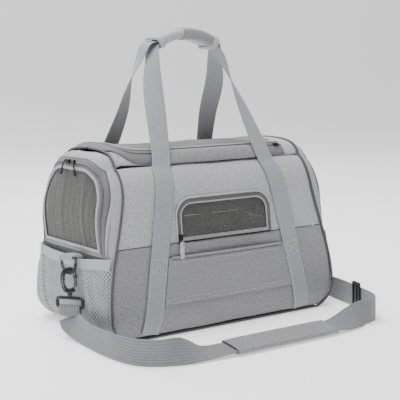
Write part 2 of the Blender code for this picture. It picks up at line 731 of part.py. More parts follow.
def make_clips():
    """Tab, ring, snap hook, gate, strap loop and folded strap end of each side."""
    for side, label in ((-1, "left"), (1, "right")):
        surface = end_x(CLIP_Y, 106.0) + 2.2
        turned = Vector(clip_place(side, RING_TURN, 1.0, 0.0, 0.0))
        turned -= Vector(clip_place(side, RING_TURN, 0.0, 0.0, 0.0))
        flat = Vector((0.0, -1.0, 0.0))
        z = RING_BAR_Z
        over = RING_ROD + 0.9 + 0.5 * WEBBING
        tab = [((side * (surface + 1.5), CLIP_Y, 106.0), flat),
               ((side * (surface + 1.7), CLIP_Y, 114.0), flat),
               ((side * (surface + 2.6), CLIP_Y, 121.5), flat.lerp(turned, 0.2)),
               ((side * (surface + 7.0), CLIP_Y, 126.0), flat.lerp(turned, 0.5)),
               ((side * (CLIP_X - 2.0), CLIP_Y, z + over), turned),
               ((side * (CLIP_X + 2.0), CLIP_Y, z + over - 0.7), turned),
               ((side * (CLIP_X + over - 0.4), CLIP_Y, z + 0.6), turned),
               ((side * (CLIP_X + over - 0.6), CLIP_Y, z - 4.0), turned)]
        ribbon(label + "_tab", tab, 23.5, "webbing")

        ring = [clip_place(side, RING_TURN, RING_HALF_WIDTH * math.cos(math.radians(a)), 0.0,
                           z - RING_DEPTH * math.sin(math.radians(a)) ** 0.8) for a in range(0, 181, 15)]
        tube(label + "_ring", ring, RING_ROD, "plastic", cyclic=True)

        top = HOOK_TOP_Z
        hook = [(8.6, -13.0), (8.8, -9.0), (7.6, -4.2), (4.4, -1.0), (0.0, 0.0), (-4.4, -1.0), (-8.0, -4.5),
                (-9.4, -10.0), (-9.6, -18.0), (-9.0, -25.0), (-6.4, -30.4), (-2.0, -32.8), (3.0, -32.6),
                (7.4, -30.0)]
        hook = [clip_place(side, HOOK_TURN, u, 0.0, top + dz) for u, dz in hook]
        tube(label + "_hook", hook, HOOK_ROD, "plastic")
        gate = [(GATE_X, GATE_FOOT), (GATE_X + 0.4, -22.0), (GATE_X + 0.4, -17.0), (GATE_X, -13.6)]
        gate = [clip_place(side, HOOK_TURN, u, 0.0, top + dz) for u, dz in gate]
        tube(label + "_gate", gate, 1.7, "plastic")

        loop = []
        for u, v in rounded_rectangle(2.0 * LOOP_HALF_WIDTH, LOOP_TOP_Z - LOOP_BAR_Z, 4.0, steps=2):
            loop.append(clip_place(side, LOOP_TURN, u, 0.0, 0.5 * (LOOP_TOP_Z + LOOP_BAR_Z) + v))
        tube(label + "_strap_loop", loop, LOOP_ROD, "plastic", cyclic=True)

        pin = [(side * CLIP_X, CLIP_Y, z) for z in (LOOP_TOP_Z + LOOP_ROD + GAP, top - 36.1)]
        tube(label + "_swivel", pin, 3.4, "plastic")

        fold_end(label + "_strap_end", side)


def fold_end(name, side):
    """Make the sewn end of the strap, folded round the loop's lower bar."""
    inner = LOOP_ROD + 0.35
    outer = inner + WEBBING
    profile = []
    for i in range(13):
        angle = math.radians(-30.0 + 20.0 * i)
        profile.append((outer * math.cos(angle), outer * math.sin(angle)))
    profile += [(-WEBBING, STRAP_END_Z - LOOP_BAR_Z), (WEBBING, STRAP_END_Z - LOOP_BAR_Z)]
    hole = [(inner * math.cos(math.radians(a)), inner * math.sin(math.radians(a))) for a in range(0, 360, 30)]
    out = Vector((side * math.cos(LOOP_TURN), -math.sin(LOOP_TURN), 0.0))
    up = Vector((0.0, 0.0, 1.0))
    across = out.cross(up)
    place = Matrix((out, up, across)).transposed().to_4x4()
    place.translation = Vector(clip_place(side, LOOP_TURN, 0.0, 0.0, LOOP_BAR_Z)) * MM
    outline_solid(name, [profile, hole], SHOULDER_WIDTH - 3.0, place, kind="webbing")


STRAP_ROUTE = [
    ((-231, -33, 31.6), (0.574, -0.819, 0.0)), ((-232, -38, 27.0), (0.55, -0.7, 0.45)),
    ((-234, -54, 23.5), (0.3, -0.45, 0.84)), ((-237, -80, 21.0), (0.1, -0.2, 0.97)),
    ((-240, -115, 19.8), (0, 0, 1)), ((-240, -152, 19.8), (0, 0, 1)), ((-237, -190, 19.8), (0, 0, 1)),
    ((-226, -222, 19.8), (0, 0, 1)), ((-205, -242, 19.8), (0, 0, 1)), ((-180, -249, 19.6), (0, 0.3, 0.95)),
    ((-155, -247, 15.0), (0, 0.75, 0.66)), ((-128, -245, 8.6), (0, 0.97, 0.25)),
    ((-96, -247, 9.2), (0, 0.99, 0.14)), ((-40, -247.5, 9.4), (0, 0.99, 0.14)),
    ((40, -247.5, 9.4), (0, 0.99, 0.14)), ((94, -247, 9.6), (0, 0.99, 0.14)),
    ((118, -247, 10.8), (0, 0.92, 0.4)), ((140, -247.5, 15.8), (0, 0.7, 0.71)),
    ((160, -248, 20.0), (0, 0.25, 0.97)),
    ((180, -246, 19.8), (0, 0, 1)), ((197, -238, 19.8), (0, 0, 1)), ((210, -221, 19.8), (0, 0, 1)),
    ((219, -197, 19.8), (0, 0, 1)), ((227, -168, 19.8), (0, 0, 1)), ((236, -138, 19.8), (0, 0, 1)),
    ((243, -106, 20.0), (0, 0, 1)), ((245, -78, 21.0), (-0.1, -0.2, 0.97)),
    ((240, -54, 23.5), (-0.3, -0.45, 0.84)), ((233, -38.5, 26.6), (-0.57, -0.72, 0.4)),
    ((231, -33, 30.9), (-0.574, -0.819, 0.0)),
]
PAD_FROM_X, PAD_TO_X = -92.0, 92.0
PAD_CENTRE_Y, PAD_CENTRE_Z = -247.5, 9.4
PAD_TILT = math.radians(8.0)
TRI_GLIDE_AT = 23


def make_strap():
    """Shoulder strap along its route, its pad and the tri-glide."""
    ribbon("shoulder_strap", STRAP_ROUTE, SHOULDER_WIDTH, "webbing", thickness=1.6, count=76)

    across = Vector((0.0, math.cos(PAD_TILT), math.sin(PAD_TILT)))
    up = Vector((0.0, -math.sin(PAD_TILT), math.cos(PAD_TILT)))
    rows = []
    for i in range(9):
        x = PAD_FROM_X + (PAD_TO_X - PAD_FROM_X) * i / 8
        row = []
        for k in range(16):
            angle = math.tau * k / 16
            c, s = math.cos(angle), math.sin(angle)
            wide = 22.0 * math.copysign(abs(c) ** 0.6, c)
            tall = 5.0 * math.copysign(abs(s) ** 0.6, s)
            row.append(tuple(Vector((x, PAD_CENTRE_Y, PAD_CENTRE_Z)) + across * wide + up * tall))
        rows.append(row)
    sheet("shoulder_pad", rows, "fabric_dark", thickness=2.2, closed=True, flip=True)

    a, b = Vector(STRAP_ROUTE[TRI_GLIDE_AT - 1][0]), Vector(STRAP_ROUTE[TRI_GLIDE_AT + 1][0])
    along = (b - a).normalized()
    out = along.cross(Vector((0, 0, 1)))
    place = Matrix((along, Vector((0, 0, 1)), out)).transposed().to_4x4()
    place.translation = (Vector(STRAP_ROUTE[TRI_GLIDE_AT][0]) - out * 3.4 + Vector((0, 0, 3.6))) * MM
    slot = [[(u + shift, v) for u, v in rounded_rectangle(5.5, 39.5, 1.5, steps=2)] for shift in (-5.5, 5.5)]
    outline_solid("tri_glide", [rounded_rectangle(24.0, 46.0, 4.0)] + slot, 3.4, place, kind="plastic")


# ---------------------------------------------------------------- joints

def set_pivot(names, place):
    """Move the origins of some parts onto their joint's axis without moving the parts."""
    target = Matrix.Translation(Vector(place) * MM)
    for name in names:
        item = bpy.data.objects[name]
        item.data.transform(target.inverted() @ item.matrix_world)
        item.matrix_world = target


def set_pivots():
    """Give every moving part its origin on the axis that it turns about or slides along."""
    handle_y = half_width(LEG_BOX_TOP_Z) + 2.7
    set_pivot(["front_handle", "handle_wrap"], (0.0, -handle_y, LEG_BOX_TOP_Z - 3.0))
    set_pivot(["rear_handle"], (0.0, handle_y, LEG_BOX_TOP_Z - 3.0))
    set_pivot(["roof_flap"], (FLAP_RIGHT_X - 1.0, 0.0, ROOF_Z + GAP))
    set_pivot(["front_window"], (0.0, -half_width(WAIST_Z) - 0.2, WAIST_Z + 1.3))
    set_pivot(["window_pull"], (1.4 - WINDOW_HALF_WIDTH, -half_width(WAIST_Z) - 8.6, WAIST_Z + 1.8))
    for side, label in ((-1, "left"), (1, "right")):
        set_pivot([label + "_door"], (side * end_x(0.0, DOOR_BOTTOM_Z), 0.0, DOOR_BOTTOM_Z + GAP))
        set_pivot([label + "_ring"], (side * CLIP_X, CLIP_Y, RING_BAR_Z))
        set_pivot([label + "_hook"], (side * CLIP_X, CLIP_Y, HOOK_TOP_Z))
        set_pivot([label + "_gate"], clip_place(side, HOOK_TURN, GATE_X, 0.0, HOOK_TOP_Z + GATE_FOOT))
        set_pivot([f"{label}_{part}" for part in ("strap_loop", "swivel", "strap_end")],
                  (side * CLIP_X, CLIP_Y, LOOP_TOP_Z))


def main():
    """Build every part of the bag."""
    make_shell()
    make_piping()
    make_inside()
    make_window()
    make_doors()
    make_roof()
    make_pockets()
    make_handles()
    make_clips()
    make_strap()
    set_pivots()


main()
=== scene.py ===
"""Looks of a soft-sided pet carrier bag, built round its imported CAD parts.

Shapes are worked out in millimetres with the same body outline as the CAD parts, and turned into
metres when a mesh is made. +X runs towards the bag's right end, -Y is the front and +Z is up.
"""
import json
import math

import bmesh
import bpy
import numpy as np
from mathutils import Matrix, Vector
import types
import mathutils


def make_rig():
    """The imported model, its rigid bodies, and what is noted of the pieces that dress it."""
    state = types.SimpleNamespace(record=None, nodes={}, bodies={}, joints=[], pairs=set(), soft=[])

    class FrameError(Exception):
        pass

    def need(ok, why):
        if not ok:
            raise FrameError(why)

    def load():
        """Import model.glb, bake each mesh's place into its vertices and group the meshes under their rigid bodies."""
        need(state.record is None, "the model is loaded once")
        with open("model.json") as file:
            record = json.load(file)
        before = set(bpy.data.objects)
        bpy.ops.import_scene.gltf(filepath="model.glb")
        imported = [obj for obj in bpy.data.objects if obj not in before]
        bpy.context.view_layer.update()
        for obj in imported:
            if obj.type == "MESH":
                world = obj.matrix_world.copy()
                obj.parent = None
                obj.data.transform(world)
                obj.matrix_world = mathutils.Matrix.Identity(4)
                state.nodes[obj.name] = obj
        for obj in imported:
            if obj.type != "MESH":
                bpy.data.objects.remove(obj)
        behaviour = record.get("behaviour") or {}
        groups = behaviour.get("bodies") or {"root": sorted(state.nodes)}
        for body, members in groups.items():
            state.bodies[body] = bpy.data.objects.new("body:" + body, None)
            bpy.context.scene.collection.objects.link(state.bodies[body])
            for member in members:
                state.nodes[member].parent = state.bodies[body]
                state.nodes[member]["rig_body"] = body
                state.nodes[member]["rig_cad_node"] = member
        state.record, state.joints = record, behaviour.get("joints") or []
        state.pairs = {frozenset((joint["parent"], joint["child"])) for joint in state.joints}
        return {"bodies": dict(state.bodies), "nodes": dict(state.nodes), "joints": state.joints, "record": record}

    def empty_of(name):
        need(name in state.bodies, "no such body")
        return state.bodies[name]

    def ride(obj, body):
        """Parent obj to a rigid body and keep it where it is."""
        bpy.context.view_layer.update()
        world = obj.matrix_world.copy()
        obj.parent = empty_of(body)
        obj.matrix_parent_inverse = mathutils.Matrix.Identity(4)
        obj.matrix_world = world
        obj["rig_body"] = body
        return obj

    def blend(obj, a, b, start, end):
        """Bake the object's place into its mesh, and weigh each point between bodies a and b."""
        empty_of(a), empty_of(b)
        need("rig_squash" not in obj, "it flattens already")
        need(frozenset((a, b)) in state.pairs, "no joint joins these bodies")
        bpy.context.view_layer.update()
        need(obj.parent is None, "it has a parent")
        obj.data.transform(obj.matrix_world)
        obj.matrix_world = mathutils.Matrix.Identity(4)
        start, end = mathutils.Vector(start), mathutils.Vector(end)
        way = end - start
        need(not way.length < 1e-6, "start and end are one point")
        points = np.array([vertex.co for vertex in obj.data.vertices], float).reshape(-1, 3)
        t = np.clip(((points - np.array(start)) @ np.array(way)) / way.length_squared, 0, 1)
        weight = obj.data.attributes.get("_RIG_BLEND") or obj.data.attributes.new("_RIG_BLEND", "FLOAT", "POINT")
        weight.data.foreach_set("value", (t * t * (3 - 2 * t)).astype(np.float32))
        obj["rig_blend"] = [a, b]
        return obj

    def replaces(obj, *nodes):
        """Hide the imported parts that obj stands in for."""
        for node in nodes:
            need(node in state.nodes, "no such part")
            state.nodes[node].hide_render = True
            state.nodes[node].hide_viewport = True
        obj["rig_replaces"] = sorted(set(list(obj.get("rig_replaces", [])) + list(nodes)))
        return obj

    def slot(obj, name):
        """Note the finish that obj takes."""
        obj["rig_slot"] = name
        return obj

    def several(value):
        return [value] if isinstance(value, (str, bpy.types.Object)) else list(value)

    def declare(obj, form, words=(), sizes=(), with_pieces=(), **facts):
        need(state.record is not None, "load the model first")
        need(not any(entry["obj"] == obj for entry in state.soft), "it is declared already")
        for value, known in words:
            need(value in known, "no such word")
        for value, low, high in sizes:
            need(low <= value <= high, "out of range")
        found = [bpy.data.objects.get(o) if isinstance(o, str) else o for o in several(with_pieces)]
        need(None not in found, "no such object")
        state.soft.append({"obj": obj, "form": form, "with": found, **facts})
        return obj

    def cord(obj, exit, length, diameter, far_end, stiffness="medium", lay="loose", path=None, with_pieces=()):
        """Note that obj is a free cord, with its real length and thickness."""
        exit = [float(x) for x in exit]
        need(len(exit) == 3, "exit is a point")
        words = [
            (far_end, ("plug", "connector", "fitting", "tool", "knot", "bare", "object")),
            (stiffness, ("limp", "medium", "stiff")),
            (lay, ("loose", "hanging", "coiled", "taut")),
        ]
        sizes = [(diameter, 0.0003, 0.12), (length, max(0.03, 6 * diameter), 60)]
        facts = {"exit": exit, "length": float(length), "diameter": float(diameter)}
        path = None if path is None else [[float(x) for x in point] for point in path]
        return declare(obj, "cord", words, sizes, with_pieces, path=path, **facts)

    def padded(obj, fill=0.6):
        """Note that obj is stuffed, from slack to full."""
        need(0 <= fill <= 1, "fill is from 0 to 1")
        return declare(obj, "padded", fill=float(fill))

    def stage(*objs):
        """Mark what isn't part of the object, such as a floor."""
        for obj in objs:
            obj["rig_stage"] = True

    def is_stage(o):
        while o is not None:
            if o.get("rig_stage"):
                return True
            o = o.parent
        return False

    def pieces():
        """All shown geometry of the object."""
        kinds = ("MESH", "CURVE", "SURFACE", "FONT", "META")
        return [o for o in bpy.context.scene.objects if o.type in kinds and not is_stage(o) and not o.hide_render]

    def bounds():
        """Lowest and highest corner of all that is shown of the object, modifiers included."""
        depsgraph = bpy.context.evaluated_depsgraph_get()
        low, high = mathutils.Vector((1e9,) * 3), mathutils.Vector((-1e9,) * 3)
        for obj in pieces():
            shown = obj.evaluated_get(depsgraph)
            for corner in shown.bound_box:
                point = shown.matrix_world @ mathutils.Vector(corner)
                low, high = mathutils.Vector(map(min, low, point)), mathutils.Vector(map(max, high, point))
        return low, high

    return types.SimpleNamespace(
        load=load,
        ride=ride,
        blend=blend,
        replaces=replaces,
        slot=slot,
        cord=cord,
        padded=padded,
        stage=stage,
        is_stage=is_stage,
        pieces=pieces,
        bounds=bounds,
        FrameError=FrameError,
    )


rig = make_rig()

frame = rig.load()
CAD_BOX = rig.bounds()
MM = 0.001

# Body outline, as in the CAD parts
BASE_HALF_LENGTH, ROOF_HALF_LENGTH, END_CORNER = 210.0, 175.0, 40.0
BASE_HALF_WIDTH, SHOULDER_HALF_WIDTH, FOOT_HALF_WIDTH = 124.0, 107.0, 117.0
SHOULDER_Z, ROOF_EDGE_Y, ROOF_EDGE_Z, ROOF_Z, WAIST_Z = 203.0, 79.0, 254.0, 280.0, 139.0
END_BULGE_LOW, END_BULGE_HIGH, SEAM = 3.0, 32.0, 2.9
WINDOW_HALF, WINDOW_TOP, WINDOW_CORNER = 89.0, 204.0, 28.0
DOOR_HALF, DOOR_BOTTOM, DOOR_TOP, DOOR_CORNER = 97.0, 131.0, 262.0, 64.0
FLAP_LEFT, FLAP_RIGHT, FLAP_HALF, FLAP_CORNER = -166.0, 146.0, 71.0, 34.0
ZIP = 5.0
STRAP_WIDTH, LEG_FOOT_X, LEG_SHOULDER_X = 31.0, 146.0, 99.0
GRIP_HALF, GRIP_Z, GRIP_SAG, WRAP_HALF = 58.0, 452.0, 17.0, 54.0
SHOULDER_WIDTH, CLIP_X, CLIP_Y = 38.0, 231.0, -33.0
RING_BAR_Z = 122.0
RING_TURN, LOOP_TURN = math.radians(20.0), math.radians(35.0)
LOOP_BAR_Z = 46.0
PAD_FROM, PAD_TO, PAD_Y, PAD_Z, PAD_TILT = -92.0, 92.0, -247.5, 9.4, math.radians(8.0)
ENDS = ((-1, "left"), (1, "right"))


# ---------------------------------------------------------------- camera

def make_camera():
    """Camera in front of the bag's left half, a little above it, looking at its middle."""
    azimuth, elevation, roll = math.radians(-34.46), math.radians(7.52), math.radians(-0.84)
    target, distance = Vector((0.0297, 0.0, 0.1818)), 1.6102
    back = Vector((math.sin(azimuth) * math.cos(elevation), -math.cos(azimuth) * math.cos(elevation),
                   math.sin(elevation)))
    right = Vector((0.0, 0.0, 1.0)).cross(back).normalized()
    up = back.cross(right)
    turned_right = right * math.cos(roll) + up * math.sin(roll)
    turned_up = up * math.cos(roll) - right * math.sin(roll)
    data = bpy.data.cameras.new("camera")
    data.lens = 87.68
    data.clip_end = 20.0
    camera = bpy.data.objects.new("camera", data)
    bpy.context.scene.collection.objects.link(camera)
    camera.matrix_world = Matrix((turned_right, turned_up, back)).transposed().to_4x4()
    camera.location = target + back * distance
    bpy.context.scene.camera = camera


make_camera()


# ---------------------------------------------------------------- materials

def node(tree, kind, inputs=(), **settings):
    """Add a shader node; inputs pairs a socket name or number with a value or another socket."""
    made = tree.nodes.new("ShaderNode" + kind)
    for key, value in settings.items():
        setattr(made, key, value)
    for key, value in dict(inputs).items():
        if isinstance(value, bpy.types.NodeSocket):
            tree.links.new(value, made.inputs[key])
        else:
            made.inputs[key].default_value = value
    return made


def maths(tree, operation, a, b=0.0, clamp=False):
    """Add a Math node and return its output."""
    return node(tree, "Math", {0: a, 1: b}, operation=operation, use_clamp=clamp).outputs[0]


def noise(tree, vector, scale, detail=3.0, roughness=0.55):
    """Add a noise texture and return its value, about 0.5 on average."""
    made = node(tree, "TexNoise",
                {"Vector": vector, "Scale": scale, "Detail": detail, "Roughness": roughness})
    return made.outputs["Fac"]


def stretched(tree, vector, scale):
    """Scale a coordinate differently along each axis."""
    return node(tree, "VectorMath", {0: vector, 1: scale}, operation="MULTIPLY").outputs[0]


def surface_coordinates(tree, plane):
    """Coordinates in metres over a surface: its own map, or two of the object's axes."""
    source = node(tree, "TexCoord")
    if plane == "uv":
        return source.outputs["UV"]
    split = node(tree, "SeparateXYZ", {0: source.outputs["Object"]})
    first, second = ("XYZ".index(letter) for letter in plane.upper())
    made = node(tree, "CombineXYZ", {0: split.outputs[first], 1: split.outputs[second]})
    return made.outputs[0]


def blend_colour(tree, factor, low, high):
    """Mix two colours by a factor socket."""
    made = node(tree, "Mix", data_type="RGBA")
    tree.links.new(factor, made.inputs["Factor"])
    for name, colour in (("A", low), ("B", high)):
        socket = [s for s in made.inputs if s.name == name and s.type == "RGBA"][0]
        if isinstance(colour, bpy.types.NodeSocket):
            tree.links.new(colour, socket)
        else:
            socket.default_value = (*colour, 1.0)
    return [s for s in made.outputs if s.type == "RGBA"][0]


def remap(tree, value, low, high, to_low=0.0, to_high=1.0):
    """Map a value's range onto another and clamp it."""
    made = node(tree, "MapRange", {0: value, 1: low, 2: high, 3: to_low, 4: to_high})
    return made.outputs[0]


def start_material(name, roughness, **sockets):
    """Make a material with a Principled shader, its constant sockets set."""
    made = bpy.data.materials.new(name)
    made.use_nodes = True
    tree = made.node_tree
    shader = tree.nodes["Principled BSDF"]
    shader.inputs["Roughness"].default_value = roughness
    for key, value in sockets.items():
        shader.inputs[key.replace("_", " ")].default_value = value
    return made, tree, shader


def add_bump(tree, shader, height, distance, strength=1.0):
    """Feed a height in 0..1 to the shader as bump, distance metres deep."""
    made = node(tree, "Bump", {"Height": height, "Distance": distance, "Strength": strength})
    tree.links.new(made.outputs[0], shader.inputs["Normal"])


def tone(colour, share):
    """Scale a colour's brightness."""
    return tuple(min(c * share, 1.0) for c in colour)


def heather(name, colour, plane="uv", contrast=0.36):
    """Plain-woven melange cloth: crossed light and dark threads with slow colour drift."""
    made, tree, shader = start_material(name, 0.88, Sheen_Weight=0.25, Sheen_Roughness=0.5)
    at = surface_coordinates(tree, plane)
    across = noise(tree, stretched(tree, at, (170.0, 1500.0, 1.0)), 1.0, 2.0)
    along = noise(tree, stretched(tree, at, (1500.0, 170.0, 1.0)), 1.0, 2.0)
    slub = noise(tree, stretched(tree, at, (190.0, 800.0, 1.0)), 1.0, 3.0)
    fleck = noise(tree, stretched(tree, at, (620.0, 430.0, 1.0)), 1.0, 3.0)
    drift = noise(tree, at, 14.0, 2.0)
    thread = maths(tree, "MULTIPLY", maths(tree, "ADD", across, along), 0.5)
    thread = maths(tree, "ADD", thread, maths(tree, "ADD", slub, maths(tree, "MULTIPLY", fleck, 1.2)))
    mixed = blend_colour(tree, remap(tree, thread, 1.34, 1.86), tone(colour, 1.0 - contrast),
                         tone(colour, 1.0 + contrast))
    drifted = blend_colour(tree, remap(tree, drift, 0.35, 0.65, 0.0, 0.1), mixed, tone(colour, 0.72))
    tree.links.new(drifted, shader.inputs["Base Color"])
    weave = node(tree, "TexChecker", {"Vector": at, "Scale": 1400.0})
    height = maths(tree, "ADD", maths(tree, "MULTIPLY", weave.outputs["Fac"], 0.35), thread)
    add_bump(tree, shader, height, 0.0004, 0.5)
    return made


def ribbed(name, colour, pitch=0.0024, contrast=0.16, roughness=0.72, depth=0.0004):
    """Woven tape or webbing with ribs along its length."""
    made, tree, shader = start_material(name, roughness, Sheen_Weight=0.15)
    at = node(tree, "TexCoord").outputs["UV"]
    split = node(tree, "SeparateXYZ", {0: at})
    rib = maths(tree, "SINE", maths(tree, "MULTIPLY", split.outputs[1], math.tau / pitch))
    pick = maths(tree, "SINE", maths(tree, "MULTIPLY", split.outputs[0], math.tau / 0.0016))
    thread = noise(tree, stretched(tree, at, (140.0, 1300.0, 1.0)), 1.0, 3.0)
    height = maths(tree, "ADD", maths(tree, "MULTIPLY", rib, 0.5), maths(tree, "MULTIPLY", pick, 0.2))
    shade = maths(tree, "ADD", maths(tree, "MULTIPLY", height, 0.28), thread)
    mixed = blend_colour(tree, remap(tree, shade, 0.2, 0.8), tone(colour, 1.0 - contrast),
                         tone(colour, 1.0 + contrast))
    tree.links.new(mixed, shader.inputs["Base Color"])
    add_bump(tree, shader, height, depth, 0.6)
    return made


def netting(name, colour, pitch, share, thin, ripple=0.0, plane="uv"):
    """Knitted mesh: a diamond grid of holes between threads; share is how much is thread."""
    made, tree, shader = start_material(name, 0.7, Sheen_Weight=0.2)
    at = surface_coordinates(tree, plane)
    split = node(tree, "SeparateXYZ", {0: at})
    turn = math.tau / pitch / 2.0
    a = maths(tree, "SINE",
              maths(tree, "MULTIPLY", maths(tree, "ADD", split.outputs[0], split.outputs[1]), turn))
    b = maths(tree, "SINE",
              maths(tree, "MULTIPLY", maths(tree, "SUBTRACT", split.outputs[0], split.outputs[1]), turn))
    hole = maths(tree, "ABSOLUTE", maths(tree, "MULTIPLY", a, b))
    solid = remap(tree, hole, share, share + 0.12, 1.0, thin)
    tree.links.new(solid, shader.inputs["Alpha"])
    shade = noise(tree, at, 60.0, 3.0)
    if ripple:
        wave = maths(tree, "MULTIPLY",
                     maths(tree, "ADD", split.outputs[0], maths(tree, "MULTIPLY", split.outputs[1], 0.04)),
                     math.tau / 0.0036)
        wobble = maths(tree, "MULTIPLY", noise(tree, at, 14.0, 2.0), 5.0)
        wave = maths(tree, "SINE", maths(tree, "ADD", wave, wobble))
        shade = maths(tree, "ADD", shade, maths(tree, "MULTIPLY", wave, ripple))
    mixed = blend_colour(tree, remap(tree, shade, 0.2, 0.8), tone(colour, 0.8), tone(colour, 1.2))
    tree.links.new(mixed, shader.inputs["Base Color"])
    add_bump(tree, shader, hole, 0.0004, 0.5)
    return made


def moulded(name, colour, roughness, grain=900.0, coat=0.0, metallic=0.0):
    """Moulded plastic, rubber or painted metal with a fine grain and slight wear."""
    made, tree, shader = start_material(name, roughness, Coat_Weight=coat, Metallic=metallic)
    at = node(tree, "TexCoord").outputs["Object"]
    grains = noise(tree, at, grain, 3.0)
    worn = noise(tree, at, 120.0, 4.0)
    mixed = blend_colour(tree, remap(tree, worn, 0.4, 0.75), tone(colour, 0.85), tone(colour, 1.5))
    tree.links.new(mixed, shader.inputs["Base Color"])
    tree.links.new(remap(tree, worn, 0.3, 0.7, roughness * 0.85, min(roughness * 1.25, 1.0)),
                   shader.inputs["Roughness"])
    add_bump(tree, shader, grains, 0.0002, 0.35)
    return made


def fleecy(name, colour):
    """Short curly fleece pile."""
    made, tree, shader = start_material(name, 1.0, Sheen_Weight=0.6, Sheen_Roughness=0.6)
    at = node(tree, "TexCoord").outputs["Object"]
    curls = node(tree, "TexVoronoi", {"Vector": at, "Scale": 210.0})
    soft = noise(tree, at, 320.0, 5.0)
    height = maths(tree, "ADD", curls.outputs["Distance"], soft)
    mixed = blend_colour(tree, remap(tree, height, 0.5, 1.3), tone(colour, 0.8), tone(colour, 1.12))
    tree.links.new(mixed, shader.inputs["Base Color"])
    add_bump(tree, shader, height, 0.002, 0.7)
    return made


CLOTH = (0.42, 0.42, 0.437)
# CLOTH_PAINTED_SHADE is the cloth colour darkened: painted shade for the lower panels, the base, the front pocket and
# the window hem, which get less light from above.
CLOTH_PAINTED_SHADE = (0.265, 0.264, 0.279)
M = {
    "cloth": heather("heather_cloth", CLOTH),
    "lower": heather("heather_cloth_lower", CLOTH_PAINTED_SHADE),
    "padded": heather("heather_padded", (0.25, 0.25, 0.262)),
    # Near-black cloth for the sheets behind the end pockets' nets: painted shade.
    "painted_shade": heather("painted_shade_cloth", (0.075, 0.077, 0.082), contrast=0.12),
    "web": ribbed("handle_webbing", (0.30, 0.308, 0.332), pitch=0.0034, contrast=0.24),
    "strap": ribbed("strap_webbing", (0.2, 0.204, 0.222), pitch=0.0042, contrast=0.34, depth=0.0007),
    "tape": ribbed("zip_tape", (0.15, 0.148, 0.164), pitch=0.0020),
    "coil": moulded("zip_coil", (0.11, 0.109, 0.122), 0.45),
    "binding": ribbed("light_binding", (0.40, 0.41, 0.435), pitch=0.0021, contrast=0.1),
    "welt": ribbed("pale_welt", (0.38, 0.38, 0.397), pitch=0.0015, contrast=0.08),
    "piping": ribbed("dark_piping", (0.075, 0.074, 0.080), pitch=0.0016, contrast=0.3),
    "window": netting("window_mesh", (0.064, 0.064, 0.060), 0.0034, 0.55, 0.45),
    "door": netting("door_mesh", (0.052, 0.052, 0.049), 0.0022, 0.6, 0.6, ripple=0.4),
    "roof": netting("roof_mesh", (0.2, 0.2, 0.19), 0.0022, 0.5, 0.55),
    "pocket": netting("pocket_mesh", (0.46, 0.47, 0.49), 0.0066, 0.33, 0.0),
    "thread": moulded("pale_thread", (0.62, 0.62, 0.65), 0.8),
    "black": moulded("black_plastic", (0.012, 0.012, 0.014), 0.36, coat=0.15),
    "metal": moulded("black_slider", (0.012, 0.012, 0.013), 0.3, metallic=0.6),
    "rubber": moulded("grey_rubber", (0.42, 0.42, 0.42), 0.6),
    "board": moulded("base_board", (0.05, 0.05, 0.05), 0.6),
    "fleece": fleecy("mat_fleece", (0.60, 0.59, 0.56)),
}
SLOTS = {"cloth": "fabric", "lower": "lower_fabric", "padded": "padded_fabric", "painted_shade": "fabric",
         "web": "webbing",
         "strap": "webbing", "tape": "zip_tape", "coil": "zip_tape", "binding": "binding",
         "welt": "binding",
         "piping": "piping", "window": "mesh", "door": "mesh", "roof": "mesh", "pocket": "mesh",
         "thread": "binding",
         "black": "black_plastic", "metal": "zip_slider", "rubber": "pull_rubber", "board": "board",
         "fleece": "fleece"}


# ---------------------------------------------------------------- body outline

def smooth(value, start, end):
    """Ease from 0 at start to 1 at end."""
    t = min(max((value - start) / (end - start), 0.0), 1.0)
    return t * t * (3.0 - 2.0 * t)


def bump_at(value, centre, width):
    """Bell curve that is 1 at a centre."""
    return math.exp(-((value - centre) / width) ** 2)


def corner_length(z, margin):
    """Half length with its round low corner, kept a margin inside the edge."""
    if z >= END_CORNER:
        return BASE_HALF_LENGTH - margin
    radius = END_CORNER - margin
    rise = min(END_CORNER - z, radius)
    return BASE_HALF_LENGTH - END_CORNER + math.sqrt(radius * radius - rise * rise)


def half_length(z, margin=0.0):
    """Half the length of the front at height z."""
    return corner_length(z, margin) + (ROOF_HALF_LENGTH - BASE_HALF_LENGTH) * smooth(z, 50.0, 245.0)


def roof_height(y):
    """Height of the roof, a shallow dome with rolled long edges."""
    t = min(abs(y) / ROOF_EDGE_Y, 1.0)
    return ROOF_Z - 9.0 * t * t - (ROOF_Z - 9.0 - ROOF_EDGE_Z) * t ** 9


def make_section():
    """Points (half width, height) up the wall, round the shoulder and over the roof."""
    points = [(FOOT_HALF_WIDTH, 3.0), (FOOT_HALF_WIDTH + 3.0, 14.0), (BASE_HALF_WIDTH - 1.0, 27.0)]
    for i in range(28):
        t = i / 27.0
        points.append((BASE_HALF_WIDTH + (SHOULDER_HALF_WIDTH - BASE_HALF_WIDTH) * t ** 1.1,
                       41.0 + (SHOULDER_Z - 41.0) * t))
    low, high = math.radians(8.0), math.radians(70.0)
    for i in range(1, 21):
        angle = low + (high - low) * i / 20.0
        across = (math.cos(low) - math.cos(angle)) / (math.cos(low) - math.cos(high))
        up = (math.sin(angle) - math.sin(low)) / (math.sin(high) - math.sin(low))
        points.append((SHOULDER_HALF_WIDTH + (ROOF_EDGE_Y - SHOULDER_HALF_WIDTH) * across,
                       SHOULDER_Z + (ROOF_EDGE_Z - SHOULDER_Z) * up))
    for i in range(1, 41):
        across = ROOF_EDGE_Y * (1.0 - i / 40.0)
        points.append((across, roof_height(across)))
    return np.array(points)


SECTION = make_section()
END_CENTRE_Z = 140.0


def half_width(z):
    """Half the body's width at height z."""
    return float(np.interp(z, SECTION[:, 1], SECTION[:, 0]))


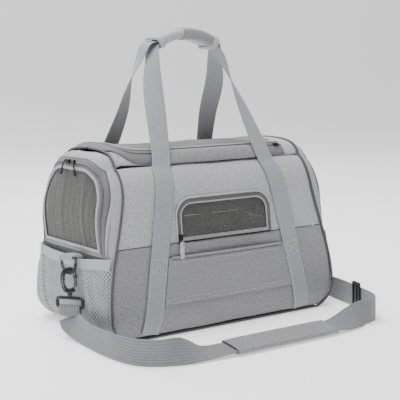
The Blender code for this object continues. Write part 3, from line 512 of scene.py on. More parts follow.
def make_reach():
    """Angle from straight down and distance of each outline point, seen from an end's middle."""
    outline = np.vstack([[(0.0, 0.0)], SECTION])
    dense = np.vstack([a + (b - a) * np.linspace(0.0, 1.0, 12, endpoint=False)[:, None]
                       for a, b in zip(outline, outline[1:])] + [outline[-1:]])
    angle = np.arctan2(dense[:, 0], END_CENTRE_Z - dense[:, 1])
    distance = np.hypot(dense[:, 0], dense[:, 1] - END_CENTRE_Z)
    order = np.argsort(angle)
    return angle[order], distance[order]


REACH_ANGLE, REACH = make_reach()


def end_x(y, z):
    """Distance of an end's outside from the middle: the taper plus a pillow-like bulge."""
    reach = math.hypot(y, z - END_CENTRE_Z)
    full = float(np.interp(math.atan2(abs(y), END_CENTRE_Z - z), REACH_ANGLE, REACH))
    share = min(reach / (full - SEAM), 1.0)
    bulge = END_BULGE_LOW * smooth(z, 0.0, 45.0)
    bulge += (END_BULGE_HIGH - END_BULGE_LOW) * smooth(z, 95.0, 200.0)
    return half_length(z) + bulge * math.sqrt(max(0.0, 1.0 - share ** 8))


def end_width(z):
    """Half the width of an end at height z, which stops short of the piping."""
    slant = 0.75 * SEAM
    return min(half_width(z) - SEAM, half_width(z + SEAM), half_width(z + slant) - slant)


def end_place(side):
    """Return a mapping from (y, z, lift) to a point on or off an end's outside."""
    def place(y, z, lift=0.0):
        low = max(z - 1.0, 2.0)
        slope_y = (end_x(y + 1.0, z) - end_x(y - 1.0, z)) / 2.0
        slope_z = (end_x(y, z + 1.0) - end_x(y, low)) / (z + 1.0 - low)
        out = Vector((1.0, -slope_y, -slope_z)).normalized()
        return Vector((side * (end_x(y, z) + out.x * lift), y + out.y * lift, z + out.z * lift))
    return place


def wall_place(way):
    """Return a mapping from (x, z, lift) to a point on or off the front (-1) or rear (1) wall."""
    def place(x, z, lift=0.0):
        lean = (half_width(z + 1.5) - half_width(z - 1.5)) / 3.0
        out = Vector((0.0, way, -lean)).normalized()
        return Vector((x, way * half_width(z), z)) + out * lift
    return place


def roof_place(x, y, lift=0.0):
    """Point on or off the roof; its left end stands up a little."""
    slope = (roof_height(y + 0.5) - roof_height(y - 0.5))
    out = Vector((0.0, -slope, 1.0)).normalized()
    perk = 5.0 * smooth(-x, 100.0,
                        160.0) * (1.0 - smooth(-x, 165.0, 173.0)) * (1.0 - 0.5 * smooth(abs(y), 40.0, 79.0))
    return Vector((x, y, roof_height(y) + perk)) + out * lift


front_place = wall_place(-1)


def leg_x(z):
    """Distance of a handle leg's middle from the bag's middle, at height z."""
    return LEG_FOOT_X + (LEG_SHOULDER_X - LEG_FOOT_X) * (z - 5.0) / (ROOF_EDGE_Z - 5.0)


def wall_sink(x, z):
    """How far the padded wall is drawn in by its seams, with slow ripples between them."""
    seam = 1.5 * bump_at(z, WAIST_Z, 2.6)
    edge = 1.1 * bump_at(half_length(z), abs(x), 8.0)
    ripple = 0.55 * math.sin(0.031 * x + 0.052 * z) + 0.45 * math.sin(0.067 * x - 0.023 * z + 1.3)
    return seam + edge + 0.9 + 0.8 * ripple


# ---------------------------------------------------------------- mesh builders

def link(name, mesh, material):
    """Link a mesh as a smooth-shaded object with one material."""
    item = bpy.data.objects.new(name, mesh)
    bpy.context.scene.collection.objects.link(item)
    item.data.materials.append(material)
    for face in mesh.polygons:
        face.use_smooth = True
    return item


def grid_object(name, rows, material, closed=False, thickness=0.0, offset=-1.0, flip=False, caps=False):
    """Make a surface from rows of points, with a map in metres; closed joins each row's ends."""
    points = np.array([[tuple(p) for p in row] for row in rows]) * MM
    count, columns = points.shape[:2]
    steps_u = np.linalg.norm(np.diff(points, axis=0), axis=2).mean(axis=1)
    middle = points[count // 2]
    steps_v = np.linalg.norm(np.diff(middle, axis=0), axis=1)
    u = np.concatenate([[0.0], np.cumsum(steps_u)])
    v = np.concatenate([[0.0], np.cumsum(steps_v)])
    if closed:
        v = np.append(v, v[-1] + np.linalg.norm(middle[0] - middle[-1]))
    v = v - 0.5 * v[-1]
    faces, maps = [], []
    for i in range(count - 1):
        for j in range(columns if closed else columns - 1):
            k = (j + 1) % columns
            quad = [i * columns + j, i * columns + k, (i + 1) * columns + k, (i + 1) * columns + j]
            faces.append(quad)
            maps += [(u[i], v[j]), (u[i], v[j + 1]), (u[i + 1], v[j + 1]), (u[i + 1], v[j])]
    if caps:
        for start, order in ((0, range(columns - 1, -1, -1)), ((count - 1) * columns, range(columns))):
            faces.append([start + j for j in order])
            maps += [(u[0 if start == 0 else -1], v[j]) for j in order]
    mesh = bpy.data.meshes.new(name)
    mesh.from_pydata([tuple(p) for p in points.reshape(-1, 3)], [], faces)
    layer = mesh.uv_layers.new(name="map")
    layer.data.foreach_set("uv", np.array(maps, np.float32).ravel())
    if flip:
        mesh.flip_normals()
    item = link(name, mesh, material)
    if thickness:
        solid = item.modifiers.new("thickness", "SOLIDIFY")
        solid.thickness = thickness * MM
        solid.offset = offset
        solid.use_even_offset = True
        settle(item)
    return item


def settle(item):
    """Apply an object's modifiers."""
    graph = bpy.context.evaluated_depsgraph_get()
    mesh = bpy.data.meshes.new_from_object(item.evaluated_get(graph))
    item.modifiers.clear()
    item.data = mesh


def prism(loop, plane, centre, depth):
    """Closed prism over a flat outline (mm): plane names the two axes that the outline lies in."""
    axes = ["xyz".index(letter) for letter in plane]
    third = 3 - sum(axes)
    bm = bmesh.new()
    rings = []
    for shift in (-0.5 * depth, 0.5 * depth):
        ring = []
        for a, b in loop:
            point = [0.0, 0.0, 0.0]
            point[axes[0]], point[axes[1]], point[third] = a * MM, b * MM, (centre + shift) * MM
            ring.append(bm.verts.new(point))
        rings.append(ring)
    count = len(loop)
    for i in range(count):
        j = (i + 1) % count
        bm.faces.new((rings[0][i], rings[0][j], rings[1][j], rings[1][i]))
    bm.faces.new(rings[0])
    bm.faces.new(list(reversed(rings[1])))
    bmesh.ops.recalc_face_normals(bm, faces=bm.faces)
    mesh = bpy.data.meshes.new("cutter")
    bm.to_mesh(mesh)
    bm.free()
    item = bpy.data.objects.new("cutter", mesh)
    bpy.context.scene.collection.objects.link(item)
    return item


def trim(item, loop, plane, centre, depth, operation="DIFFERENCE"):
    """Cut an outline out of an object, or keep only what lies inside it."""
    cutter = prism(loop, plane, centre, depth)
    cut = item.modifiers.new("cut", "BOOLEAN")
    cut.operation = operation
    cut.object = cutter
    settle(item)
    bpy.data.objects.remove(cutter, do_unlink=True)
    return item


def spaced(points, step, closed=False):
    """Points along a line at even steps, about the given step long."""
    points = [Vector(p) for p in points]
    if closed:
        points.append(points[0])
    lengths = [0.0]
    for a, b in zip(points, points[1:]):
        lengths.append(lengths[-1] + (b - a).length)
    count = max(2, int(round(lengths[-1] / step)) + 1)
    result, j = [], 0
    for i in range(count):
        want = lengths[-1] * i / (count - 1)
        while j < len(points) - 2 and lengths[j + 1] < want:
            j += 1
        share = (want - lengths[j]) / max(lengths[j + 1] - lengths[j], 1e-9)
        result.append(points[j].lerp(points[j + 1], min(max(share, 0.0), 1.0)))
    return result


def arch(half, bottom, top, corner, step=4.0):
    """Open line up the left side of an arch, over its top and down its right side."""
    points = [(-half, bottom)]
    for i in range(25):
        angle = math.radians(180.0 - 90.0 * i / 24)
        points.append((-half + corner + corner * math.cos(angle), top - corner + corner * math.sin(angle)))
    for i in range(25):
        angle = math.radians(90.0 - 90.0 * i / 24)
        points.append((half - corner + corner * math.cos(angle), top - corner + corner * math.sin(angle)))
    points.append((half, bottom))
    return spaced(points, step)


def flap_line(inset, right=0.0, step=4.0):
    """Open line round the roof opening, from its right front corner by the left to the right rear."""
    half, corner, left = FLAP_HALF - inset, FLAP_CORNER - inset, FLAP_LEFT + inset
    points = [(FLAP_RIGHT + right, -half)]
    for i in range(25):
        angle = math.radians(270.0 - 90.0 * i / 24)
        points.append((left + corner + corner * math.cos(angle), corner - half + corner * math.sin(angle)))
    for i in range(25):
        angle = math.radians(180.0 - 90.0 * i / 24)
        points.append((left + corner + corner * math.cos(angle), half - corner + corner * math.sin(angle)))
    points.append((FLAP_RIGHT + right, half))
    return spaced(points, step)


def window_arch(inset, bottom=WAIST_Z + 1.6, step=4.0):
    """Line round the front window at an inset."""
    return arch(WINDOW_HALF - inset, bottom, WINDOW_TOP - inset, WINDOW_CORNER - inset, step)


def door_arch(inset, bottom=DOOR_BOTTOM + 0.8, step=4.0):
    """Line round an end door at an inset."""
    return arch(DOOR_HALF - inset, bottom, DOOR_TOP - inset, DOOR_CORNER - inset, step)


def line_sides(line):
    """Unit direction to the left of each point of a flat line."""
    sides = []
    for i in range(len(line)):
        run = line[min(i + 1, len(line) - 1)] - line[max(i - 1, 0)]
        sides.append(Vector((-run[1], run[0])).normalized())
    return sides


def band(name, line, low, high, place, material, lift=0.3, crown=0.8, thickness=0.7, columns=7, flip=False):
    """Crowned tape that follows a flat line over a surface, from offset low to high to its left."""
    rows = []
    for point, side in zip(line, line_sides(line)):
        row = []
        for j in range(columns):
            t = j / (columns - 1)
            flat = Vector(point[:2]) + side * (low + (high - low) * t)
            row.append(place(flat[0], flat[1], lift + crown * (1.0 - (2.0 * t - 1.0) ** 4)))
        rows.append(row)
    return grid_object(name, rows, material, thickness=thickness, offset=0.0, flip=flip)


def frames_along(points, up=Vector((0.0, 0.0, 1.0)), closed=False):
    """Directions across and above a line at each point, carried along it without twist."""
    count = len(points)
    tangents = []
    for i in range(count):
        ahead = points[(i + 1) % count] if closed else points[min(i + 1, count - 1)]
        behind = points[(i - 1) % count] if closed else points[max(i - 1, 0)]
        tangents.append((ahead - behind).normalized())
    normal = up - tangents[0] * up.dot(tangents[0])
    if normal.length < 1e-3:
        normal = tangents[0].orthogonal()
    normal.normalize()
    result = []
    for tangent in tangents:
        normal = (normal - tangent * normal.dot(tangent)).normalized()
        result.append((tangent.cross(normal), normal.copy()))
    return result


def tube(name, points, radius, material, closed=False, sides=10, radii=None, flat=1.0,
         up=Vector((0.0, 0.0, 1.0)), caps=True):
    """Round or flattened rod along points (mm); radii can vary it along its length."""
    points = [Vector(p) for p in points]
    rows = []
    for i, (point, (across, above)) in enumerate(zip(points, frames_along(points, up, closed))):
        r = radii[i] if radii else radius
        rows.append([point + across * (r * math.cos(math.tau * k / sides))
                     + above * (r * flat * math.sin(math.tau * k / sides)) for k in range(sides)])
    if closed:
        rows.append(rows[0])
    item = grid_object(name, rows, material, closed=True, caps=caps and not closed)
    if closed:
        bm = bmesh.new()
        bm.from_mesh(item.data)
        bmesh.ops.remove_doubles(bm, verts=bm.verts, dist=1e-6)
        bm.to_mesh(item.data)
        bm.free()
    return item


def coil(name, line, place, material, lift=1.0, radius=1.5, pitch=1.9):
    """Zip coil: a ridged cord that follows a flat line over a surface."""
    fine = spaced([(p[0], p[1], 0.0) for p in line], pitch / 2.0)
    points = [place(p[0], p[1], lift) for p in fine]
    radii = [radius * (1.0 if i % 2 else 0.72) for i in range(len(points))]
    return tube(name, points, radius, material, sides=8, radii=radii)


def ribbon(name, stations, width, material, thickness=1.6, ring=18, widths=None):
    """Flat webbing with rounded edges through (centre, direction of its width) stations."""
    rows = []
    for i, (centre, side) in enumerate(stations):
        ahead = stations[min(i + 1, len(stations) - 1)][0]
        behind = stations[max(i - 1, 0)][0]
        along = (ahead - behind).normalized()
        side = (side - along * side.dot(along)).normalized()
        above = along.cross(side)
        half = 0.5 * (widths[i] if widths else width)
        row = []
        for k in range(ring):
            c, s = math.cos(math.tau * k / ring), math.sin(math.tau * k / ring)
            row.append(centre + side * (half * math.copysign(abs(c) ** 0.55, c))
                       + above * (0.5 * thickness * math.copysign(abs(s) ** 0.45, s)))
        rows.append(row)
    item = grid_object(name, rows, material, closed=True, caps=True)
    flat_map(item, rows, ring, [0.5 * (widths[i] if widths else width) for i in range(len(stations))])
    return item


def flat_map(item, rows, ring, halves):
    """Give a ribbon a map of (length along, place across), the same on both of its faces."""
    layer = item.data.uv_layers["map"]
    across = []
    for i in range(len(rows)):
        for k in range(ring):
            c = math.cos(math.tau * k / ring)
            across.append(halves[i] * math.copysign(abs(c) ** 0.55, c) * MM)
    length = [0.0]
    for a, b in zip(rows, rows[1:]):
        length.append(length[-1] + (sum((q - p).length for p, q in zip(a, b)) / ring) * MM)
    for loop in item.data.loops:
        index = loop.vertex_index
        layer.data[loop.index].uv = (length[index // ring], across[index])


def catmull(values, step):
    """Smooth curve through (centre, side) stations, sampled at even steps."""
    dense = []
    for i in range(len(values) - 1):
        quad = [values[max(i - 1, 0)], values[i], values[i + 1], values[min(i + 2, len(values) - 1)]]
        for j in range(12):
            t = j / 12.0
            both = []
            for part in (0, 1):
                p0, p1, p2, p3 = (Vector(q[part]) for q in quad)
                both.append(0.5 * (2.0 * p1 + (p2 - p0) * t + (2.0 * p0 - 5.0 * p1 + 4.0 * p2 - p3) * t * t
                                   + (3.0 * p1 - p0 - 3.0 * p2 + p3) * t ** 3))
            dense.append(both)
    dense.append([Vector(values[-1][0]), Vector(values[-1][1])])
    lengths = [0.0]
    for a, b in zip(dense, dense[1:]):
        lengths.append(lengths[-1] + (b[0] - a[0]).length)
    count = int(round(lengths[-1] / step)) + 1
    result, j = [], 0
    for i in range(count):
        want = lengths[-1] * i / (count - 1)
        while j < len(dense) - 2 and lengths[j + 1] < want:
            j += 1
        share = min(max((want - lengths[j]) / max(lengths[j + 1] - lengths[j], 1e-9), 0.0), 1.0)
        result.append((dense[j][0].lerp(dense[j + 1][0], share),
                       dense[j][1].lerp(dense[j + 1][1], share).normalized()))
    return result


def stitches(name, runs, material, length=2.6, gap=1.5, radius=0.42):
    """Row of thread stitches along each run of (point, outward direction) pairs."""
    verts, faces = [], []
    for run in runs:
        points = [p for p, _ in run]
        outs = [n for _, n in run]
        lengths = [0.0]
        for a, b in zip(points, points[1:]):
            lengths.append(lengths[-1] + (b - a).length)

        def at(distance):
            j = min(max(int(np.searchsorted(lengths, distance)) - 1, 0), len(points) - 2)
            share = (distance - lengths[j]) / max(lengths[j + 1] - lengths[j], 1e-9)
            return points[j].lerp(points[j + 1], share), outs[j]

        place = 0.5 * gap
        while place + length < lengths[-1]:
            a, out = at(place)
            b, _ = at(place + length)
            along = (b - a).normalized()
            side = along.cross(out).normalized() * radius
            up = out.normalized() * radius
            start = len(verts)
            for centre, scale in ((a, 0.35), (a.lerp(b, 0.25), 1.0), (a.lerp(b, 0.75), 1.0), (b, 0.35)):
                for q in (side, up * 1.1, -side, -up):
                    verts.append(tuple((centre + q * scale + out.normalized() * 0.15) * MM))
            for ring in range(3):
                for k in range(4):
                    m = (k + 1) % 4
                    faces.append((start + ring * 4 + k, start + ring * 4 + m, start + ring * 4 + 4 + m,
                                  start + ring * 4 + 4 + k))
            faces.append((start + 3, start + 2, start + 1, start))
            faces.append((start + 12, start + 13, start + 14, start + 15))
            place += length + gap
    mesh = bpy.data.meshes.new(name)
    mesh.from_pydata(verts, [], faces)
    return link(name, mesh, material)


def run_over(line, place, lift, offset=0.0):
    """Points and outward directions along a flat line over a surface."""
    result = []
    for point, side in zip(line, line_sides(line)):
        flat = Vector(point[:2]) + side * offset
        low = place(flat[0], flat[1], lift)
        result.append((low, (place(flat[0], flat[1], lift + 1.0) - low).normalized()))
    return result


def put(item, body, kind=None, replaces=()):
    """Let a piece ride on a body, take its finish from a slot and stand for CAD nodes."""
    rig.ride(item, body)
    if kind:
        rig.slot(item, SLOTS[kind])
    if replaces:
        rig.replaces(item, *replaces)
    return item


# ---------------------------------------------------------------- shoulder strap, a free cord

SHOULDER_ROUTE = (
    ((-231, -33, 31.6), (0.574, -0.819, 0)), ((-232, -38, 27), (0.55, -0.7, 0.45)),
    ((-234, -54, 23.5), (0.3, -0.45, 0.84)), ((-237, -80, 21), (0.1, -0.2, 0.97)),
    ((-240, -115, 19.8), (0, 0, 1)), ((-240, -152, 19.8), (0, 0, 1)), ((-237, -190, 19.8), (0, 0, 1)),
    ((-226, -222, 19.8), (0, 0, 1)), ((-205, -242, 19.8), (0, 0, 1)), ((-180, -249, 19.6), (0, 0.3, 0.95)),
    ((-155, -247, 15), (0, 0.75, 0.66)), ((-128, -245, 8.6), (0, 0.97, 0.25)),
    ((-96, -247, 9.2), (0, 0.99, 0.14)), ((-40, -247.5, 9.4), (0, 0.99, 0.14)),
    ((40, -247.5, 9.4), (0, 0.99, 0.14)), ((94, -247, 9.6), (0, 0.99, 0.14)),
    ((118, -247, 10.8), (0, 0.92, 0.4)), ((140, -247.5, 15.8), (0, 0.7, 0.71)),
    ((160, -248, 20), (0, 0.25, 0.97)), ((180, -246, 19.8), (0, 0, 1)), ((197, -238, 19.8), (0, 0, 1)),
    ((210, -221, 19.8), (0, 0, 1)), ((219, -197, 19.8), (0, 0, 1)), ((227, -168, 19.8), (0, 0, 1)),
    ((236, -138, 19.8), (0, 0, 1)), ((243, -106, 20), (0, 0, 1)), ((245, -78, 21), (-0.1, -0.2, 0.97)),
    ((240, -54, 23.5), (-0.3, -0.45, 0.84)), ((233, -38.5, 26.6), (-0.57, -0.72, 0.4)),
    ((231, -33, 30.9), (-0.574, -0.819, 0)),
)


def strap_point(x, across, above):
    """Point of the shoulder pad at x, across its width and above its middle."""
    return Vector((x, PAD_Y + across * math.cos(PAD_TILT) - above * math.sin(PAD_TILT),
                   PAD_Z + across * math.sin(PAD_TILT) + above * math.cos(PAD_TILT)))


def pad_section(x, inset=0.0):
    """Rounded flat section of the shoulder pad, plumper in its middle than at its ends."""
    swell = 1.0 - 0.12 * smooth(abs(x), 62.0, 92.0)
    row = []
    for k in range(44):
        c, s = math.cos(math.tau * k / 44), math.sin(math.tau * k / 44)
        wide = (22.0 - inset) * math.copysign(abs(c) ** 0.6, c) * (1.0 - 0.02 * smooth(abs(x), 70.0, 92.0))
        tall = (5.4 * swell - inset) * math.copysign(abs(s) ** 0.62, s)
        row.append(strap_point(x, wide, tall))
    return row


def make_shoulder_strap():
    """Ribbed strap on edge round the front, with its sleeve-like pad and its tri-glide."""
    stations = catmull(SHOULDER_ROUTE, 3.0)
    strap = ribbon("shoulder_webbing", stations, SHOULDER_WIDTH, M["strap"], thickness=1.7, ring=22)
    put(strap, "bag", "strap", ["shoulder_strap"])
    path = [tuple(centre * MM) for centre, _ in stations]
    length = sum((Vector(b) - Vector(a)).length for a, b in zip(path, path[1:]))

    steps = 61
    xs = [PAD_FROM + (PAD_TO - PAD_FROM) * i / (steps - 1) for i in range(steps)]
    sleeve = grid_object("pad_sleeve", [pad_section(x) for x in xs], M["padded"], closed=True,
                         thickness=1.9, offset=-1.0)
    put(sleeve, "bag", "padded", ["shoulder_pad"])
    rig.padded(sleeve, 0.5)
    extras = []
    for x, label in ((PAD_FROM + 1.0, "left"), (PAD_TO - 1.0, "right")):
        loop = pad_section(x, 0.9)
        hem = tube(f"pad_hem_{label}", loop, 1.35, M["padded"], closed=True, sides=8)
        extras.append(put(hem, "bag", "padded"))
    runs = []
    for across in (-19.3, 19.3):
        for face in (1, -1):
            height = 5.4 * (1.0 - (abs(across) / 22.0) ** 3.2) ** 0.31
            run = [(strap_point(x, across, face * height), Vector((0, 0, face))) for x in np.linspace(-88,
                    88, 60)]
            runs.append(run)
    extras.append(put(stitches("pad_stitching", runs, M["thread"], 3.0, 1.6, 0.3), "bag", "thread"))

    names = [sleeve, *extras, bpy.data.objects["tri_glide"]]
    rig.cord(strap, exit=path[0], length=length, diameter=0.038, far_end="object", stiffness="limp",
            lay="loose",
            path=path, with_pieces=names)


make_shoulder_strap()


# ---------------------------------------------------------------- cloth shell

def wall_rows(way, z_low, z_high, step, columns, margin=1.0, sink=True, lift=0.0):
    """Rows of points over a wall between two heights."""
    rows = []
    for z in np.linspace(z_low, z_high, int((z_high - z_low) / step) + 1):
        row = []
        for x in np.linspace(-1.0, 1.0, columns) * half_length(z, margin):
            row.append(wall_place(way)(x, z, lift - (wall_sink(x, z) if sink else 0.0)))
        rows.append(row)
    return rows


def make_walls():
    """Lower and upper heather panels of the front and the rear."""
    for way, label in ((-1, "front"), (1, "rear")):
        # The lower panels take the darker cloth colour: painted shade.
        lower = grid_object(f"{label}_lower_cloth", wall_rows(way, 6.3, 138.4, 3.3, 91), M["lower"],
                            thickness=2.2,
                            flip=way > 0)
        put(lower, "bag", "lower", [f"{label}_lower_panel"])
        upper = grid_object(f"{label}_upper_cloth", wall_rows(way, 139.3, 253.6, 2.9, 91), M["cloth"],
                            thickness=2.2, flip=way > 0)
        if way < 0:
            trim(upper, [tuple(p[:2]) for p in arch(WINDOW_HALF, 120.0, WINDOW_TOP, WINDOW_CORNER)], "xz",
                 -115.0, 60.0)
        put(upper, "bag", "cloth", [f"{label}_upper_panel"])


def make_end_frames():
    """Cloth frames of both ends round their doors."""
    for side, label in ENDS:
        rows = []
        for z in np.concatenate([np.linspace(3.2, 40.0, 12), np.linspace(43.0, 276.2, 80)]):
            wide = end_width(z) + 1.0
            rows.append([end_place(side)(y, z, -1.0 + 0.5 * math.sin(0.05 * y + 0.04 * z))
                         for y in np.linspace(-1.0, 1.0, 61) * (wide - 0.1)])
        item = grid_object(f"{label}_end_cloth", rows, M["cloth"], thickness=2.2, flip=side < 0)
        loop = [tuple(p[:2]) for p in arch(DOOR_HALF, DOOR_BOTTOM, DOOR_TOP, DOOR_CORNER)]
        trim(item, loop, "yz", side * 200.0, 90.0)
        put(item, "bag", "cloth", [f"{label}_end_frame"])


def make_roof_frame():
    """Cloth frame of the roof round its flap, the padded rolls along its edges and the gathered end."""
    rows = [[roof_place(x, y, -0.6) for x in np.linspace(-172.0, 172.0, 87)] for y in np.linspace(-78.6,
            78.6, 81)]
    item = grid_object("roof_cloth", rows, M["cloth"], thickness=2.2, flip=False)
    loop = [tuple(p[:2]) for p in flap_line(0.0)]
    trim(item, loop, "xy", 270.0, 60.0)
    put(item, "bag", "cloth", ["roof_frame"])

    for way, label in ((-1, "front"), (1, "rear")):
        rows = []
        for x in np.linspace(-86.0, 86.0, 60):
            fade = math.sqrt(max(0.0, 1.0 - (abs(x) / 86.6) ** 14))
            row = []
            for k in range(15):
                t = k / 14.0
                y = 80.2 - 15.7 * t
                base = roof_place(x, way * min(y, 78.9), 0.4)
                swell = 5.2 * fade * math.sin(math.pi * t) ** 0.55
                out = (roof_place(x, way * min(y, 78.4), 1.4) - roof_place(x, way * min(y, 78.4),
                        0.4)).normalized()
                base.z = max(base.z, 255.2)
                row.append(base + out * (swell + 0.2))
            rows.append(row)
        roll = grid_object(f"{label}_roof_roll", rows, M["padded"], thickness=1.2, flip=way > 0)
        put(roll, "bag", "padded")
        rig.padded(roll, 0.8)
        runs = [[(roof_place(x, way * 64.9, 1.6), Vector((0, 0, 1))) for x in np.linspace(-82, 82, 70)]]
        put(stitches(f"{label}_roll_stitching", runs, M["thread"], 2.8, 1.5, 0.32), "bag", "thread")


def make_base():
    """Cloth base with a faint sag between its seams."""
    rows = []
    for y in np.linspace(-117.0, 117.0, 41):
        row = []
        for x in np.linspace(-183.0, 183.0, 61):
            row.append(Vector((x, y, 1.2 + 0.5 * math.cos(x / 60.0) * math.cos(y / 40.0))))
        rows.append(row)
    # The base takes the darker cloth colour: painted shade.
    base = grid_object("base_cloth", rows, M["lower"], thickness=1.6, offset=1.0)
    put(base, "bag", "lower", ["base_panel"])


def piping_line(way):
    """Line of the cord round the front or rear face, from the roof down, along the base and back up."""
    radius = 2.2
    heights = list(np.linspace(279.6, 254.0, 26)) + list(np.linspace(252.0, 42.0,
            85)) + list(np.linspace(39.0, 2.7, 26))
    half = []
    for z in heights:
        width = max(half_width(z), 0.0) if z < 279.5 else radius + 0.2
        half.append(Vector((-half_length(z), way * width, z)))
    half.append(Vector((-181.0, way * 117.3, 2.6)))
    low = [Vector((x, way * 117.3, 2.6)) for x in np.linspace(-176.0, 176.0, 70)]
    line = half + low + [Vector((-p.x, p.y, p.z)) for p in reversed(half)]
    return spaced(line, 3.0)


def make_piping():
    """Dark cord piping round both faces, with pale welts beside it."""
    for way, label in ((-1, "front"), (1, "rear")):
        cord = tube(f"{label}_piping_cord", piping_line(way), 1.8, M["piping"], sides=14)
        put(cord, "bag", "piping", [f"{label}_piping"])
        for side, end in ENDS:
            rows = []
            for z in np.concatenate([np.linspace(14.0, 250.0, 90), np.linspace(252.0, 270.0, 12)]):
                wide = end_width(z)
                rows.append([end_place(side)(way * (wide - inset), z, lift)
                             for inset, lift in ((-1.9, -1.0), (-1.1, 0.3), (0.6, 0.9), (2.6, 0.8),
                                                 (3.6, -0.4))])
            welt = grid_object(f"{end}_{label}_welt", rows, M["welt"], thickness=0.4, offset=0.0)
            put(welt, "bag", "welt")


make_walls()
make_end_frames()
make_roof_frame()
make_base()
make_piping()


# ---------------------------------------------------------------- window

def make_window():
    """Mesh window with its zip, its bindings and its hem."""
    line = window_arch(0.0)
    welt = band("window_welt", line, -0.4, 2.2, front_place, M["binding"], lift=0.1, crown=1.5)
    put(welt, "bag", "welt")
    tape = band("window_zip_tape", line, -ZIP + 0.2, 0.2, front_place, M["tape"], lift=-0.9, crown=0.5,
                thickness=1.0)
    put(tape, "bag", "tape", ["window_zip"])
    teeth = coil("window_coil", window_arch(ZIP - 0.6), front_place, M["coil"], lift=0.2, radius=1.5)
    put(teeth, "bag", "coil")
    inner = band("window_inner_tape", window_arch(ZIP + 0.4), -1.6, 0.0, front_place, M["tape"], lift=-0.9,
                 crown=0.5,
                 thickness=1.0)
    put(inner, "front_window", "tape")
    binding = band("window_binding", window_arch(ZIP + 1.8), -2.0, 0.2, front_place, M["welt"], lift=-0.4,
                   crown=1.2)
    put(binding, "front_window", "binding")
    rows = []
    for z in np.linspace(140.6, 200.0, 30):
        rows.append([front_place(x, z,
                                 -1.7 + 0.5 * math.sin(x / 19.0 + z / 30.0)) for x in np.linspace(-86.0,
                                         86.0, 60)])
    mesh = grid_object("window_netting", rows, M["window"], thickness=0.5)
    loop = [tuple(p[:2]) for p in arch(WINDOW_HALF - 7.2, 120.0, WINDOW_TOP - 7.2, WINDOW_CORNER - 7.2)]
    trim(mesh, loop, "xz", -115.0, 60.0, "INTERSECT")
    put(mesh, "front_window", "window", ["front_window"])
    # The hem takes the darker cloth colour: painted shade.
    hem = band("window_hem", [Vector((x, WAIST_Z + 4.2, 0)) for x in np.linspace(-82, 82, 60)], -2.6, 2.6,
               front_place,
               M["lower"], lift=-0.9, crown=0.7)
    put(hem, "front_window", "cloth")


def make_doors():
    """Mesh doors of both ends with their zips, bindings, hems and the cord pulls on their sliders."""
    for side, label in ENDS:
        place = end_place(side)
        flip = side < 0
        line = door_arch(0.0)
        tape = band(f"{label}_frame_tape", line, -ZIP + 0.2, 2.6, place, M["tape"], lift=0.3, crown=0.5,
                    thickness=0.9,
                    flip=flip)
        put(tape, "bag", "tape", [f"{label}_door_zip"])
        edge = band(f"{label}_zip_edge", line, 2.4, 3.4, place, M["piping"], lift=0.3, crown=0.3, flip=flip)
        put(edge, "bag", "piping")
        rim = band(f"{label}_frame_binding", line, 3.2, 7.0, place, M["welt"], lift=0.2, crown=0.9,
                   flip=flip)
        put(rim, "bag", "welt")
        teeth = coil(f"{label}_door_coil", door_arch(ZIP - 1.0), place, M["coil"], lift=1.3, radius=1.5)
        put(teeth, "bag", "coil")
        inner = band(f"{label}_door_tape", door_arch(ZIP + 0.4), -3.4, 0.0, place, M["tape"], lift=0.2,
                     crown=0.8,
                     thickness=0.9, flip=flip)
        put(inner, f"{label}_door", "tape")
        binding = band(f"{label}_door_binding", door_arch(ZIP + 4.0), -4.4, 0.0, place, M["welt"], lift=0.4,
                       crown=1.2,
                       flip=flip)
        put(binding, f"{label}_door", "binding")
        facing = band(f"{label}_door_facing", door_arch(19.0, bottom=136.0), -11.0, 0.0, place,
                      M["binding"], lift=-2.6,
                      crown=0.3, thickness=0.5, flip=flip)
        put(facing, f"{label}_door", "binding")
        rows = []
        for z in np.linspace(132.0, 256.0, 62):
            row = []
            for y in np.linspace(-92.0, 92.0, 111):
                fold = (0.25 * math.sin(y / 2.6 + math.sin(z / 33.0)) + 1.4 * bump_at(y, -52.0 + 0.05 * z,
                        5.0)
                        + 1.2 * bump_at(y, 34.0 - 0.04 * z, 7.0)) * smooth(84.0 - abs(y), 0.0, 12.0)
                row.append(place(y, z, -1.2 + 0.5 * fold))
            rows.append(row)
        mesh = grid_object(f"{label}_door_netting", rows, M["door"], thickness=0.5, flip=flip)
        loop = [tuple(p[:2]) for p in arch(DOOR_HALF - 10.0, 120.0, DOOR_TOP - 10.0, DOOR_CORNER - 10.0)]
        trim(mesh, loop, "yz", side * 200.0, 90.0, "INTERSECT")
        put(mesh, f"{label}_door", "door", [f"{label}_door"])
        hem = band(f"{label}_door_hem",
                   [Vector((y, DOOR_BOTTOM + 3.6, 0)) for y in np.linspace(-88, 88, 60)],
                   -2.4, 2.8, place, M["binding"], lift=0.1, crown=0.8, flip=not flip)
        put(hem, f"{label}_door", "binding")
        for way, end in ((-1, "front"), (1, "rear")):
            z = DOOR_TOP - 0.5 * ZIP
            top = place(way * 8.0, z + 1.0, 5.4)
            cord = [top + Vector((0.0, way * 2.0, 1.0)), top + Vector((side * 3.2, way * 5.0, -1.0)),
                    top + Vector((side * 4.6, way * 9.5, -7.0)), top + Vector((side * 5.0, way * 13.0,
                            -15.0)),
                    top + Vector((side * 5.4, way * 16.0, -22.0))]
            smoothed = [c for c, _ in catmull([(p, Vector((0, 1, 0))) for p in cord], 1.2)]
            pull = tube(f"{label}_{end}_pull_cord", smoothed, 1.25, M["black"], sides=8)
            put(pull, f"{label}_door_slider_{end}", "black")
            tip = tube(f"{label}_{end}_pull_tip", spaced(smoothed[-9:], 1.0), 2.3, M["black"], sides=10,
                       flat=0.7)
            put(tip, f"{label}_door_slider_{end}", "black")


